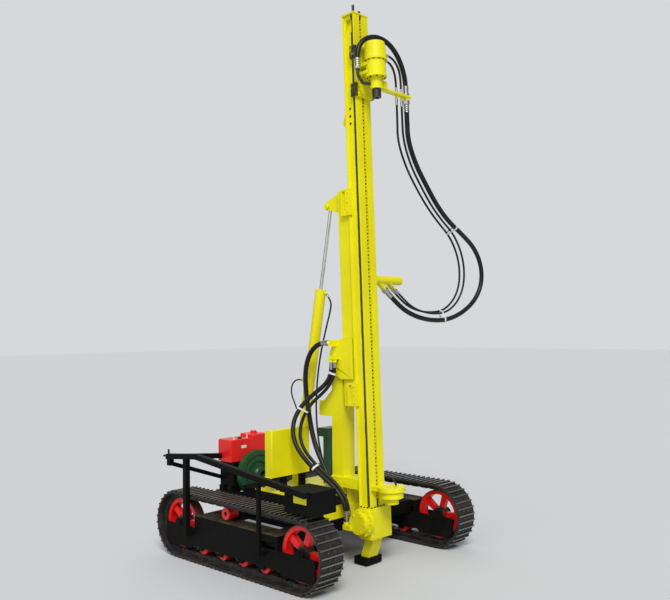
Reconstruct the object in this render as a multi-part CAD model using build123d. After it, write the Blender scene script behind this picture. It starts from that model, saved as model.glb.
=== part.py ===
from build123d import *
import math
import os

# Down-the-hole drill rig on crawler tracks. Millimetres, X forward, Y to the machine's left, Z up.
# Pieces are laid out about the middle of the tracks; at the end they move so that the origin is the
# middle of the footprint.

# Tracks
gauge = 1780
shoe_width = 250
wheel_base = 1570
track_height = 600
shoe_count = 42
shoe_plate = 14
grouser_height = 14
grouser_foot = 16
grouser_tip = 9
link_height = 46
link_width = 110
link_notch = 12
link_notch_length = 36
run_gap = 0.3

# Track wheels and rollers
wheel_width = 90
wheel_rim = 40
wheel_hub_radius = 62
wheel_spokes = 5
spoke_width = (46, 62)
spoke_thickness = 44
axle_radius = 30
roller_inset = (85, 177)
roller_count = 4
roller_width = 120
roller_axle_z = 140
roller_pin = 18
carrier_x = -150
carrier_radius = 52
carrier_width = 104

# Track frames
frame_end_gap = 18
frame_half_width = 90
frame_bottom = 212
frame_top = 405
skirt_thickness = 18
skirt_bottom = 138
skirt_end_bottom = 108
skirt_end_length = 375
skirt_step = 30
skirt_top = 292
skirt_reach = 185
skirt_corner = 40
axle_boss = 48
axle_end = 8
hanger_half_width = 26
hanger_drop = 30
spring_radius = 34
spring_wire = 12
spring_turns = 10
spring_bay_length = 211
spring_bay_half = 45
spring_seat = 16
carrier_plate = 18
cross_beam_height = 110

# Chassis between the tracks
beam_bottom = frame_top
beam_top = 505
rail_offset = 400
rail_width = 100
rail_rear_x = -920
front_beam_x = (380, 495)
rear_beam_x = (-545, -430)
deck_top = 600
deck_plate_thickness = 12
deck_rear_x = -500
deck_joint_x = -300
deck_front_x = 440
deck_half_width = 480
deck_skirt = 16

# Post that carries the mast
post_rear_x = 300
post_front_x = 430
post_half_width = 78
base_plate_z = (650, 735)
base_plate_rear_x = 300
base_plate_half_width = 100
base_gap = 10
leg_half_width = 50
leg_gap = 5
wing_thickness = 16
post_wing = [(300, 1500), (300, 1265), (140, 1265), (140, 1400), (200, 1400)]
hinge_x = 360
hinge_z = 1690
hinge_pin_radius = 28
hinge_fit = 0.1
post_head_radius = 70
pin_end = 8

# Mast: built upright through the hinge, then leaned back
mast_lean = 1.87
column_rear_x = 445
column_depth = 133
column_half_width = 75
column_z = (1360, 3290)
cheek_gap = 7
cheek_thickness = 20
cheek_z = (1600, 1960)
cheek_rear = [(372, 1942), (312, 1850), (304, 1668), (440, 1600)]
cheek_seat_inset = 20
feed_rear_x = 591
feed_depth = 140
feed_half_width = 95
feed_z = (500, 4848)
feed_flange = 14
feed_web_half = 78
slot_half = 17
slot_depth = 34
pocket_x = (31, 99)
pocket_drop = (35, 160)
pocket_depth = 32
cap_thickness = 14
cap_rim = 4
cap_stubs_y = (-40, 40)
cap_stub = (10, 50, 56)
chain_pitch = 50.8
chain_waist = 6
chain_end_gap = 60
chain_sink = 7
chain_half_width = 13
guide_fit = 0.5
axis_ahead = 157

# Rotary head travel gear
beam_top_z = feed_z[1]
carriage_z = (beam_top_z - 758, beam_top_z - 300)
carriage_plate = 24
slipper_height = 120
slipper_cheek = 22
slipper_hook = 30
head_arm = (34, 62)
head_z = (beam_top_z - 613, beam_top_z - 443, beam_top_z - 296)
head_body_radius = 88
head_flange = (96, 20)
head_collar = (101, 18)
head_cap_top_radius = 86
head_dome = 16
neck_radius = 54
neck_bottom = beam_top_z - 713
chuck_radius = 40
chuck_z = (beam_top_z - 790, neck_bottom - 0.5)
chuck_bore_radius = 22
chuck_bore_depth = 60

# Centralizer at the foot of the mast
central_z = (540, 592, 648, 684)
central_radii = (58, 100, 120)
central_bore = 46
central_arm_half = 90
foot_pad_x = (565, 712)
foot_pad_y = (-95, 108)
foot_pad_z = (12, 72)
foot_leg_half = 62
leg_top_ahead = (35, 130)
leg_foot_ahead = (-48, 42)
gearbox_y = (-128, 140)
gearbox_bottom = 235
gearbox_ahead = 25
motor_ahead = 90
motor_z = 385
motor_steps = [(118, -128, -170), (92, -170, -225)]
motor_port_x = (576, 660)
motor_port_y = (-246, -165)
motor_port_z = (330, 372)
lug_drop = (838, 988)
lug_reach = 86
lug_half_width = 30
lug_tip = (20, 65)
guide_spans = ((1365, 1570), (3050, 3290))
guide_cheek = 16
guide_hook = 20
guide_rim = 22
guide_pocket = 20

# Lift cylinder
lift_base = (-231, 660)
port_block_x = (-150, -100)
port_block_z = (1545, 1600)
lift_eye = (240, 3180)
barrel_radius = 50
barrel_end = 1790
rod_radius = 16
rod_start = 850
rod_fit = 0.3
eye_radius = 38
eye_half_width = 20
ear_gap = 6
ear_thickness = 18
lift_pin_radius = 20
ear_span = (-90, 100)
ear_tip = 14
ear_rim = 4
ear_pin_end = 12
barrel_start = 60
barrel_lug = (18, 92)
port_reach = 42
clevis_half = 60
clevis_plate = 12
clevis_gap = 3
clevis_pin_half = 50

# Engine
engine_x = (-858, -665)
engine_y = (-440, 60)
engine_rear_y = 300
crank_y = -185
crank_z = 665
flywheel_radius = 224
flywheel_x = (-646, -590)
flywheel_rings = [(46, 0), (50, 16), (78, 16), (82, 5), (106, 5), (112, 20)]
pulley_radius = 60
pulley_groove = 14
pulley_front_x = -525
shaft_radius = 28
hood_y = (-472, -10)
hood_z = (795, 1002)
hood_front_x = -656
hood_round = 17
hood_step_y = -200
hood_step_top = 1030
bed_height = 60
bed_reach = (20, 100)
rear_block_inset = (20, 30, 40)
bed_x = ((-850, -790), (-735, -675))

# Guard, box, tank and valve stand on the chassis
guard_y = -1042
guard_tube = 46
guard_top = [(-860, 905), (-423, 946), (950, 793)]
guard_posts = [(-575, 46), (400, 30)]
guard_brace = ((-820, -1042, 846), (-820, -420, 627))
guard_tie = ((-860, -1052, 902), (-810, -450, 842))
tank_x = (-46, 50)
tank_y = (-584, -120)
tank_z = (748, 1158)
tank_legs_y = (-430, -200)
tank_leg = (24, 50)
tank_round = 10
box_x = (640, 950)
box_y = (-984, -714)
box_z = (616, 802)
box_spacers_x = (690, 850)
box_spacer_length = 50
box_plate_x = (750, 896)
box_plate_z = (704, 766)
box_plate_thickness = 6
stand_x = (0, 60)
stand_y = (110, 170)
valve_block_x = (-40, 90)
valve_block_y = (85, 260)
valve_block_z = (1040, 1120)

# Hoses
air_hose = 45
thin_hose = 20
feed_widths = (40, 30)
lift_hose_width = 16
bracket_z = (beam_top_z - 708, beam_top_z - 690)
arm_x = 625
arm_z = 2484
arm_radius = 40
arm_end_y = 540
arm_plate = (120, 12)
nipple_run = 130
nipple_share = 1.15
bracket_half_width = 30
bracket_end_y = 460
bracket_root = (34, 62, 6, 57)
elbow_radius = 14
elbow_nut = (21, 26)
elbow_bend = 40
outlet_blocks = [((345, 395), (1897, 1953)), ((345, 425), (1780, 1815))]
outlet_y = -168

# Routes over the head on the upright mast, with heights counted from the top of the feed beam
air_jumper = [(799, -140, -518), (799, -140, -425), (802, -119, -331), (818, -60, -259), (842, 27, -220),
              (864, 122, -220), (880, 218, -257), (888, 306, -330), (888, 377, -433), (888, 415, -555),
              (888, 415, -673)]
motor_jumper_a = [(888, 140, -373), (888, 215, -373), (888, 288, -413), (888, 334, -486), (888, 345, -583),
                  (888, 345, -673)]
motor_jumper_b = [(888, 125, -428), (888, 169, -428), (888, 210, -445), (888, 241, -476), (888, 262, -521),
                  (888, 275, -596), (888, 275, -673)]
air_elbow_run = [(799, -140, -518), (799, -140, -593), (820, -105, -663), (866, -32, -670)]

# Routes of the loop from the head's bracket to the hose arm
air_loop = [(888, 415, 4080), (888, 415, 3920), (868, 445, 3755), (853, 560, 3560), (842, 720, 3388),
            (831, 890, 3218), (820, 1085, 3078), (808, 1320, 2973), (796, 1560, 2848), (782, 1700, 2668),
            (768, 1705, 2470), (752, 1580, 2300), (734, 1370, 2180), (716, 1150, 2116), (699, 930, 2111),
            (676, 745, 2140), (642, 600, 2200), (625, 473, 2286), (625, 345, 2382)]
motor_loop_a = [(888, 345, 4080), (888, 345, 3920), (852, 395, 3755), (824, 520, 3552), (805, 690, 3375),
                (792, 865, 3205), (779, 1060, 3070), (770, 1235, 2972), (759, 1370, 2816), (747, 1440, 2637),
                (734, 1430, 2448), (719, 1330, 2290), (704, 1170, 2195), (690, 1000, 2175), (672, 845, 2190),
                (654, 710, 2228), (644, 590, 2297), (644, 470, 2387)]
motor_loop_b = [(888, 275, 4080), (888, 275, 3920), (826, 345, 3745), (790, 490, 3540), (768, 665, 3362),
                (755, 845, 3196), (742, 1045, 3056), (732, 1215, 2956), (722, 1345, 2806), (710, 1412, 2634),
                (698, 1402, 2452), (684, 1306, 2304), (668, 1155, 2212), (652, 1000, 2192), (632, 850, 2200),
                (614, 712, 2234), (606, 590, 2297), (606, 470, 2387)]

# Routes beside the post: from the hinge bracket and the lift cylinder down to the deck and the feed motor
supply_hose = [(322, -140, 1925), (242, -140, 1925), (166, -140, 1899), (101, -139, 1846), (52, -138, 1768),
               (22, -137, 1662), (19, -135, 1540), (34, -134, 1400), (68, -135, 1240), (105, -136, 1090),
               (165, -140, 955), (245, -150, 850), (312, -160, 760), (330, -165, 700), (330, -165, 640)]
feed_hose_a = [(365, -145, 1755), (365, -145, 1690), (348, -152, 1620), (307, -170, 1554), (238, -200, 1495),
               (138, -295, 1380), (103, -385, 1220), (160, -420, 1050), (265, -385, 905), (372, -310, 785),
               (470, -250, 690), (556, -226, 590), (598, -224, 490), (598, -224, 395)]
feed_hose_b = [(405, -145, 1755), (405, -145, 1690), (389, -150, 1618), (351, -162, 1546), (284, -184, 1474),
               (180, -235, 1375), (135, -290, 1250), (140, -335, 1120), (195, -345, 1000), (275, -308, 890),
               (372, -262, 795), (470, -212, 705), (556, -190, 600), (598, -187, 490), (598, -187, 395)]
lift_hose = [(178, 0, 2361), (233, 0, 2306), (236, -20, 2215), (218, -46, 2095), (196, -68, 1965),
             (170, -83, 1830), (142, -90, 1670), (120, -92, 1490), (112, -93, 1300), (122, -90, 1120),
             (150, -88, 965), (190, -89, 850), (230, -93, 770), (245, -95, 715), (245, -95, 660)]


def from_beam_top(points):
    return [(x, y, beam_top_z + z) for x, y, z in points]


def loop_hoses():
    return [(air_loop, air_hose / 2), (motor_loop_a, thin_hose / 2), (motor_loop_b, thin_hose / 2)]


def feed_hoses():
    return [(points, width / 2) for points, width in zip((feed_hose_a, feed_hose_b), feed_widths)]


def head_hoses():
    routes = [(air_jumper, air_hose / 2), (motor_jumper_a, thin_hose / 2), (motor_jumper_b, thin_hose / 2)]
    return [(from_beam_top(points), radius) for points, radius in routes]


track_radius = track_height / 2
wheel_z = track_radius
plate_outer = track_radius - grouser_height
plate_inner = plate_outer - shoe_plate
link_inner = plate_inner - link_height
wheel_radius = link_inner - run_gap
roller_radius = roller_axle_z - (track_radius - link_inner) - run_gap
carrier_z = wheel_z + link_inner - run_gap - carrier_radius
frame_half_length = wheel_base / 2 - wheel_radius - frame_end_gap
bed_z = (beam_top, beam_top + bed_height)
feed_front_x = feed_rear_x + feed_depth
drill_x = feed_front_x + axis_ahead


def block(x0, x1, y0, y1, z0, z1):
    middle = Pos((x0 + x1) / 2, (y0 + y1) / 2, (z0 + z1) / 2)
    return middle * Box(abs(x1 - x0), abs(y1 - y0), abs(z1 - z0))


def shaft_along(axis, point, radius, start, end):
    turn = {"x": Rot(0, 90, 0), "y": Rot(-90, 0, 0), "z": Rot(0, 0, 0)}[axis]
    slide = {"x": (1, 0, 0), "y": (0, 1, 0), "z": (0, 0, 1)}[axis]
    middle = [p + s * (start + end) / 2 for p, s in zip(point, slide)]
    return Pos(*middle) * turn * Cylinder(radius, abs(end - start))


def shaft_x(y, z, radius, x0, x1):
    return shaft_along("x", (0, y, z), radius, x0, x1)


def shaft_y(x, z, radius, y0, y1):
    return shaft_along("y", (x, 0, z), radius, y0, y1)


def shaft_z(x, y, radius, z0, z1):
    return shaft_along("z", (x, y, 0), radius, z0, z1)


def side_plate(points, y0, y1):
    # A flat outline of (x, z) points, carried along Y
    outline = Polyline(*[(x, 0, z) for x, z in points], close=True)
    return extrude(make_face(outline), amount=y1 - y0, dir=(0, 1, 0)).moved(Location((0, y0, 0)))


def link_plate(start, end, radius, y0, y1):
    # A plate with round ends between two (x, z) centres
    length = math.dist(start, end)
    angle = math.degrees(math.atan2(end[1] - start[1], end[0] - start[0]))
    middle = ((start[0] + end[0]) / 2, (y0 + y1) / 2, (start[1] + end[1]) / 2)
    flat = Rot(90, 0, 0) * extrude(SlotCenterToCenter(length, 2 * radius), (y1 - y0) / 2, both=True)
    return Pos(*middle) * Rot(0, -angle, 0) * flat


def bar(start, end, radius):
    way = Vector(*end) - Vector(*start)
    plane = Plane(origin=start, z_dir=way)
    return plane * Pos(0, 0, way.length / 2) * Cylinder(radius, way.length)


def square_tube(start, end, width):
    way = Vector(*end) - Vector(*start)
    plane = Plane(origin=start, x_dir=(0, 0, 1) if abs(way.Z) < abs(way.X) + abs(way.Y) else (1, 0, 0), z_dir=way)
    return plane * Pos(0, 0, way.length / 2) * Box(width, width, way.length)


# A stadium around both wheel centres, in X and Z
def stadium(radius, y0, y1):
    return link_plate((-wheel_base / 2, wheel_z), (wheel_base / 2, wheel_z), radius, y0, y1)


# Point and outward direction at a distance along the loop of the given radius
def on_loop(radius, share):
    arc = math.pi * radius
    total = 2 * wheel_base + 2 * arc
    along = (share % 1.0) * total
    half = wheel_base / 2
    if along < wheel_base:
        return (-half + along, wheel_z + radius), math.radians(90)
    along -= wheel_base
    if along < arc:
        angle = math.radians(90) - along / radius
        return (half + radius * math.cos(angle), wheel_z + radius * math.sin(angle)), angle
    along -= arc
    if along < wheel_base:
        return (half - along, wheel_z - radius), math.radians(-90)
    along -= wheel_base
    angle = math.radians(-90) - along / radius
    return (-half + radius * math.cos(angle), wheel_z + radius * math.sin(angle)), angle


def loop_outline(radius, count, steps):
    # steps are (along the run, out from the loop) for one repeat
    total = 2 * wheel_base + 2 * math.pi * radius
    points = []
    for index in range(count):
        for along, high in steps:
            (x, z), angle = on_loop(radius, (index + 0.5) / count + along / total)
            points.append((x + high * math.cos(angle), z + high * math.sin(angle)))
    return points


shoe_pitch = (2 * wheel_base + 2 * math.pi * plate_outer) / shoe_count
grouser_slope = (grouser_foot - grouser_tip) / 2
shoe_steps = []
for bar_end in (0, shoe_pitch / 2):
    shoe_steps += [
        (bar_end - grouser_foot, 0),
        (bar_end - grouser_foot + grouser_slope, grouser_height),
        (bar_end - grouser_slope, grouser_height),
        (bar_end, 0),
    ]
link_steps = [(-link_notch_length / 2, 0), (0, link_notch), (link_notch_length / 2, 0)]


def track_loop(y):
    shoes = side_plate(loop_outline(plate_outer, shoe_count, shoe_steps), y - shoe_width / 2, y + shoe_width / 2)
    shoes -= stadium(plate_inner, y - shoe_width, y + shoe_width)
    chain = stadium(plate_inner + shoe_plate / 2, y - link_width / 2, y + link_width / 2)
    chain -= stadium(link_inner, y - shoe_width, y + shoe_width)
    notch = side_plate(loop_outline(link_inner, shoe_count, link_steps), y - link_width, y + link_width)
    return shoes + (chain - notch)


def spoked_wheel(x, y):
    half = wheel_width / 2
    wheel = shaft_y(x, wheel_z, wheel_radius, y - half, y + half)
    wheel -= shaft_y(x, wheel_z, wheel_radius - wheel_rim, y - half - 1, y + half + 1)
    wheel += shaft_y(x, wheel_z, wheel_hub_radius, y - half, y + half)
    reach = wheel_radius - wheel_rim / 2
    spoke_half = spoke_thickness / 2
    near, far = spoke_width[0] / 2, spoke_width[1] / 2
    for index in range(wheel_spokes):
        spoke = side_plate([(0, -near), (reach, -far), (reach, far), (0, near)], y - spoke_half, y + spoke_half)
        wheel += Pos(x, 0, wheel_z) * Rot(0, 360 / wheel_spokes * index, 0) * spoke
    return wheel - shaft_y(x, wheel_z, axle_radius + run_gap, y - half - 1, y + half + 1)


def roller_places():
    first = -frame_half_length + roller_inset[0]
    last = frame_half_length - roller_inset[1]
    return [first + (last - first) * index / (roller_count - 1) for index in range(roller_count)]


def bottom_rollers(y):
    half = roller_width / 2
    rollers = []
    for x in roller_places():
        roller = shaft_y(x, roller_axle_z, roller_radius, y - half, y + half)
        rollers.append(roller - shaft_y(x, roller_axle_z, roller_pin + run_gap, y - half - 1, y + half + 1))
    return rollers


def carrier_roller(y):
    half = carrier_width / 2
    roller = shaft_y(carrier_x, carrier_z, carrier_radius, y - half, y + half)
    return roller - shaft_y(carrier_x, carrier_z, roller_pin + run_gap, y - half - 1, y + half + 1)


def spring_bay():
    # Start and end of the open bay for the front wheel's tension spring
    end = frame_half_length - spring_seat
    return end - spring_bay_length + spring_seat, end


def track_skirt(y0, y1):
    # Long side plate with slanting ends that covers the lower half of both wheels and holds their axles
    half = wheel_base / 2
    reach = half + skirt_reach
    inner = reach - skirt_end_length
    end_half = [(inner - skirt_step, skirt_bottom), (inner, skirt_end_bottom),
                (reach - skirt_corner, skirt_end_bottom), (reach, skirt_end_bottom + skirt_corner), (reach, skirt_top)]
    skirt = side_plate(end_half + [(-x, z) for x, z in reversed(end_half)], y0, y1)
    for x in (-half, half):
        skirt += shaft_y(x, wheel_z, axle_boss, y0, y1)
    for x in roller_places():
        hanger_x = (x - hanger_half_width, x + hanger_half_width)
        skirt += block(*hanger_x, y0, y1, roller_axle_z - hanger_drop, skirt_bottom)
    return skirt


def track_frame(y):
    frame = block(-frame_half_length, frame_half_length, y - frame_half_width, y + frame_half_width,
                  frame_bottom, frame_top)
    frame -= block(*spring_bay(), y - frame_half_width, y + frame_half_width,
                   wheel_z - spring_bay_half, wheel_z + spring_bay_half)
    for side in (-1, 1):
        frame += track_skirt(*sorted((y + side * frame_half_width, y + side * (frame_half_width - skirt_thickness))))
    inward = -math.copysign(1, y)
    bracket_face = y + inward * (carrier_width / 2 + run_gap)
    bracket_back = bracket_face + inward * carrier_plate
    frame += block(carrier_x - carrier_radius, carrier_x + carrier_radius, *sorted((bracket_face, bracket_back)),
                   frame_top, carrier_z + carrier_radius / 2)
    for end in (-1, 1):
        frame += shaft_y(end * wheel_base / 2, wheel_z, axle_radius, y - frame_half_width - axle_end,
                         y + frame_half_width + axle_end)
    for x in roller_places():
        frame += shaft_y(x, roller_axle_z, roller_pin, y - frame_half_width, y + frame_half_width)
    return frame + shaft_y(carrier_x, carrier_z, roller_pin, *sorted((bracket_back, y - inward * carrier_width / 2)))


def tension_spring(y):
    # Spring that pushes the front wheel forward: rings on a rod, turned from one outline
    start, end = spring_bay()
    pitch = (end - start) / spring_turns
    core = spring_radius - spring_wire
    points = [(start, 0), (start, core)]
    for index in range(spring_turns):
        here = start + pitch * index
        points += [(here + pitch * 0.25, spring_radius), (here + pitch * 0.75, spring_radius), (here + pitch, core)]
    points.append((end, 0))
    return Pos(0, y, wheel_z) * revolve(make_face(Polyline(*points, close=True)), Axis.X)


def cross_beams():
    # Ladder frame between the two track frames, under the rails
    reach = gauge / 2 - frame_half_width
    height = (frame_top - cross_beam_height, frame_top)
    frame = block(*front_beam_x, -reach, reach, *height) + block(*rear_beam_x, -reach, reach, *height)
    for side in (-1, 1):
        width = sorted((side * (rail_offset - rail_width / 2), side * (rail_offset + rail_width / 2)))
        frame += block(rear_beam_x[1], front_beam_x[0], *width, *height)
    return frame


def chassis_frame():
    reach = rail_offset + rail_width / 2
    frame = block(*front_beam_x, -reach, reach, beam_bottom, beam_top)
    frame += block(*rear_beam_x, -reach, reach, beam_bottom, beam_top)
    for side in (-1, 1):
        inner = side * (rail_offset - rail_width / 2)
        outer = side * (rail_offset + rail_width / 2)
        frame += block(rail_rear_x, front_beam_x[1], *sorted((inner, outer)), beam_bottom, beam_top)
    return frame


def deck_plate(rear_x, front_x):
    # Plate on two side strips that stand on the rails
    plate_bottom = deck_top - deck_plate_thickness
    plate = block(rear_x, front_x, -deck_half_width, deck_half_width, plate_bottom, deck_top)
    for side in (-1, 1):
        outer = side * (rail_offset + rail_width / 2)
        plate += block(rear_x, front_x, *sorted((outer, outer - side * deck_skirt)), beam_top, plate_bottom)
    return plate


def deck():
    front = block(deck_front_x - deck_skirt, deck_front_x, -rail_offset, rail_offset, beam_top, deck_top)
    return deck_plate(deck_joint_x, deck_front_x) + front


def feed_rear_at(z):
    # Rear face of the leaning feed beam at a height
    return hinge_x + (feed_rear_x - hinge_x) / math.cos(math.radians(mast_lean)) \
        - (z - hinge_z) * math.tan(math.radians(mast_lean))


def mast_post():
    base_front = feed_rear_at(base_plate_z[1]) - base_gap
    post = block(post_rear_x, post_front_x, -post_half_width, post_half_width, base_plate_z[1], hinge_z)
    post += shaft_y(hinge_x, hinge_z, post_head_radius, -post_half_width, post_half_width)
    post += block(base_plate_rear_x, base_front, -base_plate_half_width, base_plate_half_width, *base_plate_z)
    post += block(base_plate_rear_x, post_front_x, -post_half_width, post_half_width, deck_top, base_plate_z[0])
    leg_x = (deck_front_x + leg_gap, front_beam_x[1] - leg_gap)
    post += block(*leg_x, -leg_half_width, leg_half_width, beam_top, base_plate_z[0])
    for side in (-1, 1):
        post += side_plate(post_wing, *sorted((side * post_half_width, side * (post_half_width - wing_thickness))))
    pin_reach = post_half_width + cheek_gap + cheek_thickness + pin_end
    post += shaft_y(hinge_x, hinge_z, hinge_pin_radius, -pin_reach, pin_reach)
    return post


def lean(shape):
    hinge = (hinge_x, 0, hinge_z)
    return Pos(*hinge) * Rot(0, -mast_lean, 0) * Pos(-hinge_x, 0, -hinge_z) * shape


def mast_column():
    front = column_rear_x + column_depth
    return block(column_rear_x, front, -column_half_width, column_half_width, *column_z)


def hinge_bracket():
    inner = post_half_width + cheek_gap
    front = column_rear_x + column_depth
    outline = [(front, cheek_z[0]), (front, cheek_z[1]), (column_rear_x, cheek_z[1]), *cheek_rear]
    seat_z = (cheek_z[0] + cheek_seat_inset, cheek_z[1] - cheek_seat_inset)
    bracket = []
    for side in (-1, 1):
        span = sorted((side * inner, side * (inner + cheek_thickness)))
        cheek = side_plate(outline, *span)
        cheek -= shaft_y(hinge_x, hinge_z, hinge_pin_radius + hinge_fit, span[0] - 1, span[1] + 1)
        seat = sorted((side * column_half_width, side * inner))
        bracket.append(cheek + block(column_rear_x + cheek_seat_inset, front - cheek_seat_inset / 2, *seat, *seat_z))
    return bracket


def beam_guides():
    # Pairs of guide cheeks on the column that hold the rear flanges of the feed beam
    guides = []
    outer = feed_half_width + guide_fit
    face = outer + guide_cheek
    rear = column_rear_x + column_depth / 2
    front = column_rear_x + column_depth
    hook_x = feed_rear_x + feed_flange + guide_fit
    for low, high in guide_spans:
        for side in (-1, 1):
            guide = block(rear, front, *sorted((side * column_half_width, side * face)), low, high)
            guide += block(rear, hook_x + guide_hook, *sorted((side * outer, side * face)), low, high)
            hook = sorted((side * (feed_web_half + guide_fit), side * face))
            guide += block(hook_x, hook_x + guide_hook, *hook, low, high)
            pocket = sorted((side * (face - guide_pocket), side * face))
            guide -= block(rear + guide_rim, front - guide_rim / 2, *pocket, low + guide_rim, high - guide_rim)
            guides.append(guide)
    return guides


def into_mast(point):
    # Upright place of an (x, z) point of the leaning mast
    angle = math.radians(mast_lean)
    x = point[0] - hinge_x
    z = point[1] - hinge_z
    return (hinge_x + x * math.cos(angle) + z * math.sin(angle), hinge_z - x * math.sin(angle) + z * math.cos(angle))


def rod_ears():
    eye = into_mast(lift_eye)
    ears = []
    for side in (-1, 1):
        span = sorted((side * (eye_half_width + ear_gap), side * (eye_half_width + ear_gap + ear_thickness)))
        outline = [(column_rear_x, eye[1] + ear_span[0]), (column_rear_x, eye[1] + ear_span[1]),
                   (eye[0] - ear_tip, eye[1] + eye_radius), (eye[0], eye[1] - eye_radius)]
        ear = side_plate(outline, *span) + shaft_y(*eye, eye_radius + ear_rim, *span)
        outer = side * (eye_half_width + ear_gap + ear_thickness)
        pin = sorted((outer - side * ear_rim, outer + side * ear_pin_end))
        ears.append(ear + shaft_y(*eye, lift_pin_radius, *pin))
    return ears


def feed_beam():
    half = feed_half_width
    rear, front = feed_rear_x, feed_front_x
    top = feed_z[1]
    beam = block(rear, front, -half, half, *feed_z)
    for side in (-1, 1):
        recess = sorted((side * feed_web_half, side * (half + 1)))
        beam -= block(rear + feed_flange, front - feed_flange, *recess, *feed_z)
    beam -= block(front - slot_depth, front + 1, -slot_half, slot_half, *feed_z)
    for side in (-1, 1):
        pocket = sorted((side * (feed_web_half - pocket_depth), side * half))
        beam -= block(rear + pocket_x[0], rear + pocket_x[1], *pocket, top - pocket_drop[1], top - pocket_drop[0])
    return beam


def feed_chain():
    rear = feed_front_x - slot_depth
    front = feed_front_x - chain_sink
    bottom = feed_z[0] + chain_end_gap
    links = int((feed_z[1] - chain_end_gap - bottom) / chain_pitch)
    outline = []
    for index in range(links):
        z = bottom + chain_pitch * index
        outline += [(front, z), (front - chain_waist, z + chain_pitch / 2)]
    outline += [(rear, bottom + chain_pitch * links), (rear, bottom)]
    return side_plate(outline, -chain_half_width, chain_half_width)


def beam_cap():
    half = feed_half_width + cap_rim
    cap = block(feed_rear_x - cap_rim, feed_front_x + cap_rim, -half, half, feed_z[1], feed_z[1] + cap_thickness)
    radius, back, height = cap_stub
    for y in cap_stubs_y:
        cap += shaft_z(feed_front_x - back, y, radius, feed_z[1], feed_z[1] + height)
    return cap


def beam_lug():
    top, bottom = (beam_top_z - drop for drop in lug_drop)
    rear = feed_rear_x - lug_reach
    outline = [(feed_rear_x, bottom), (feed_rear_x, top), (feed_rear_x - lug_reach / 2, top),
               (rear, bottom + lug_tip[1]), (rear, bottom + lug_tip[0])]
    return side_plate(outline, -lug_half_width, lug_half_width)


def gearbox():
    return block(feed_rear_x + gearbox_ahead, feed_front_x + gearbox_ahead, *gearbox_y, gearbox_bottom, feed_z[0])


def feed_motor():
    body = [shaft_y(feed_rear_x + motor_ahead, motor_z, radius, end, start) for radius, start, end in motor_steps]
    motor = lean(body[0] + body[1]) + block(*motor_port_x, *motor_port_y, *motor_port_z)
    for points, hose_radius in feed_hoses():
        x, y, z = points[-1]
        motor += shaft_z(x, y, hose_radius * nipple_share, motor_port_z[1], z)
    return motor


def foot_leg():
    top, bottom = gearbox_bottom, foot_pad_z[0]
    outline = [(feed_rear_x + ahead, top) for ahead in leg_top_ahead]
    outline += [(feed_rear_x + ahead, bottom) for ahead in reversed(leg_foot_ahead)]
    below = block(*foot_pad_x, *foot_pad_y, bottom - foot_pad_z[1], foot_pad_z[1])
    return lean(side_plate(outline, -foot_leg_half, foot_leg_half)) - below


def foot_pad():
    return block(*foot_pad_x, *foot_pad_y, *foot_pad_z)


def centralizer():
    small, drum, plate = central_radii
    guide = shaft_z(drill_x, 0, small, central_z[0], central_z[1])
    guide += shaft_z(drill_x, 0, drum, central_z[1], central_z[2])
    guide += shaft_z(drill_x, 0, plate, central_z[2], central_z[3])
    guide += block(feed_front_x, drill_x, -central_arm_half, central_arm_half, central_z[2], central_z[3])
    return guide - shaft_z(drill_x, 0, central_bore, central_z[0] - 1, central_z[3] + 1)


def hose_arm():
    # Pipe that carries the hose loop out to the machine's left, with a slanting nipple for each hose
    height, thickness = arm_plate
    arm = shaft_y(arm_x, arm_z, arm_radius, feed_half_width, arm_end_y)
    arm += block(feed_rear_x, arm_x + arm_radius, feed_half_width, feed_half_width + thickness,
                 arm_z - height / 2, arm_z + height / 2)
    for points, hose_radius in loop_hoses():
        end = points[-1]
        arm += bar(end, (end[0], end[1] - nipple_run * 0.8, end[2] + nipple_run * 0.6), hose_radius * nipple_share)
    return arm


def carriage():
    low, high = carriage_z
    rear = feed_front_x + guide_fit
    front = rear + carriage_plate
    outer = feed_half_width + guide_fit
    plate = block(rear, front, -outer, outer, low, high)
    near, far = head_arm
    for z0, z1 in ((head_z[0] + near, head_z[0] + far), (head_z[1] - far, head_z[1] - near)):
        plate += block(front, drill_x, -head_body_radius, head_body_radius, z0, z1)
    return plate - shaft_z(drill_x, 0, head_body_radius + run_gap, low, high)


def guide_slippers():
    # Blocks on the carriage's edges that hook behind the front flanges of the feed beam
    low, high = carriage_z
    outer = feed_half_width + guide_fit
    face = outer + slipper_cheek
    hook_x = feed_front_x - feed_flange - guide_fit
    front = feed_front_x + guide_fit + carriage_plate
    slippers = []
    for z0, z1 in ((low, low + slipper_height), (high - slipper_height, high)):
        for side in (-1, 1):
            slipper = block(hook_x - slipper_hook, front, *sorted((side * outer, side * face)), z0, z1)
            hook = sorted((side * (feed_web_half + guide_fit), side * face))
            slippers.append(slipper + block(hook_x - slipper_hook, hook_x, *hook, z0, z1))
    return slippers


def rotary_head():
    # One turned outline of (radius, height) points from the neck to the domed cap
    bottom, joint, top = head_z
    flange, flange_height = head_flange
    collar, collar_height = head_collar
    turned = Polyline(
        (0, 0, neck_bottom), (neck_radius, 0, neck_bottom), (neck_radius, 0, bottom), (flange, 0, bottom),
        (flange, 0, bottom + flange_height), (head_body_radius, 0, bottom + flange_height),
        (head_body_radius, 0, joint - collar_height), (collar, 0, joint - collar_height), (collar, 0, joint),
        (head_cap_top_radius, 0, top), (0, 0, top), close=True)
    head = revolve(make_face(turned), Axis.Z)
    head = Pos(drill_x, 0, 0) * fillet(head.edges().group_by(Axis.Z)[-1], head_dome)
    for points in (from_beam_top(motor_jumper_a), from_beam_top(motor_jumper_b)):
        x, y, z = points[0]
        head += shaft_along("y", (x, 0, z), thin_hose / 2 * nipple_share, head_cap_top_radius / 2, y)
    return head


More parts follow.
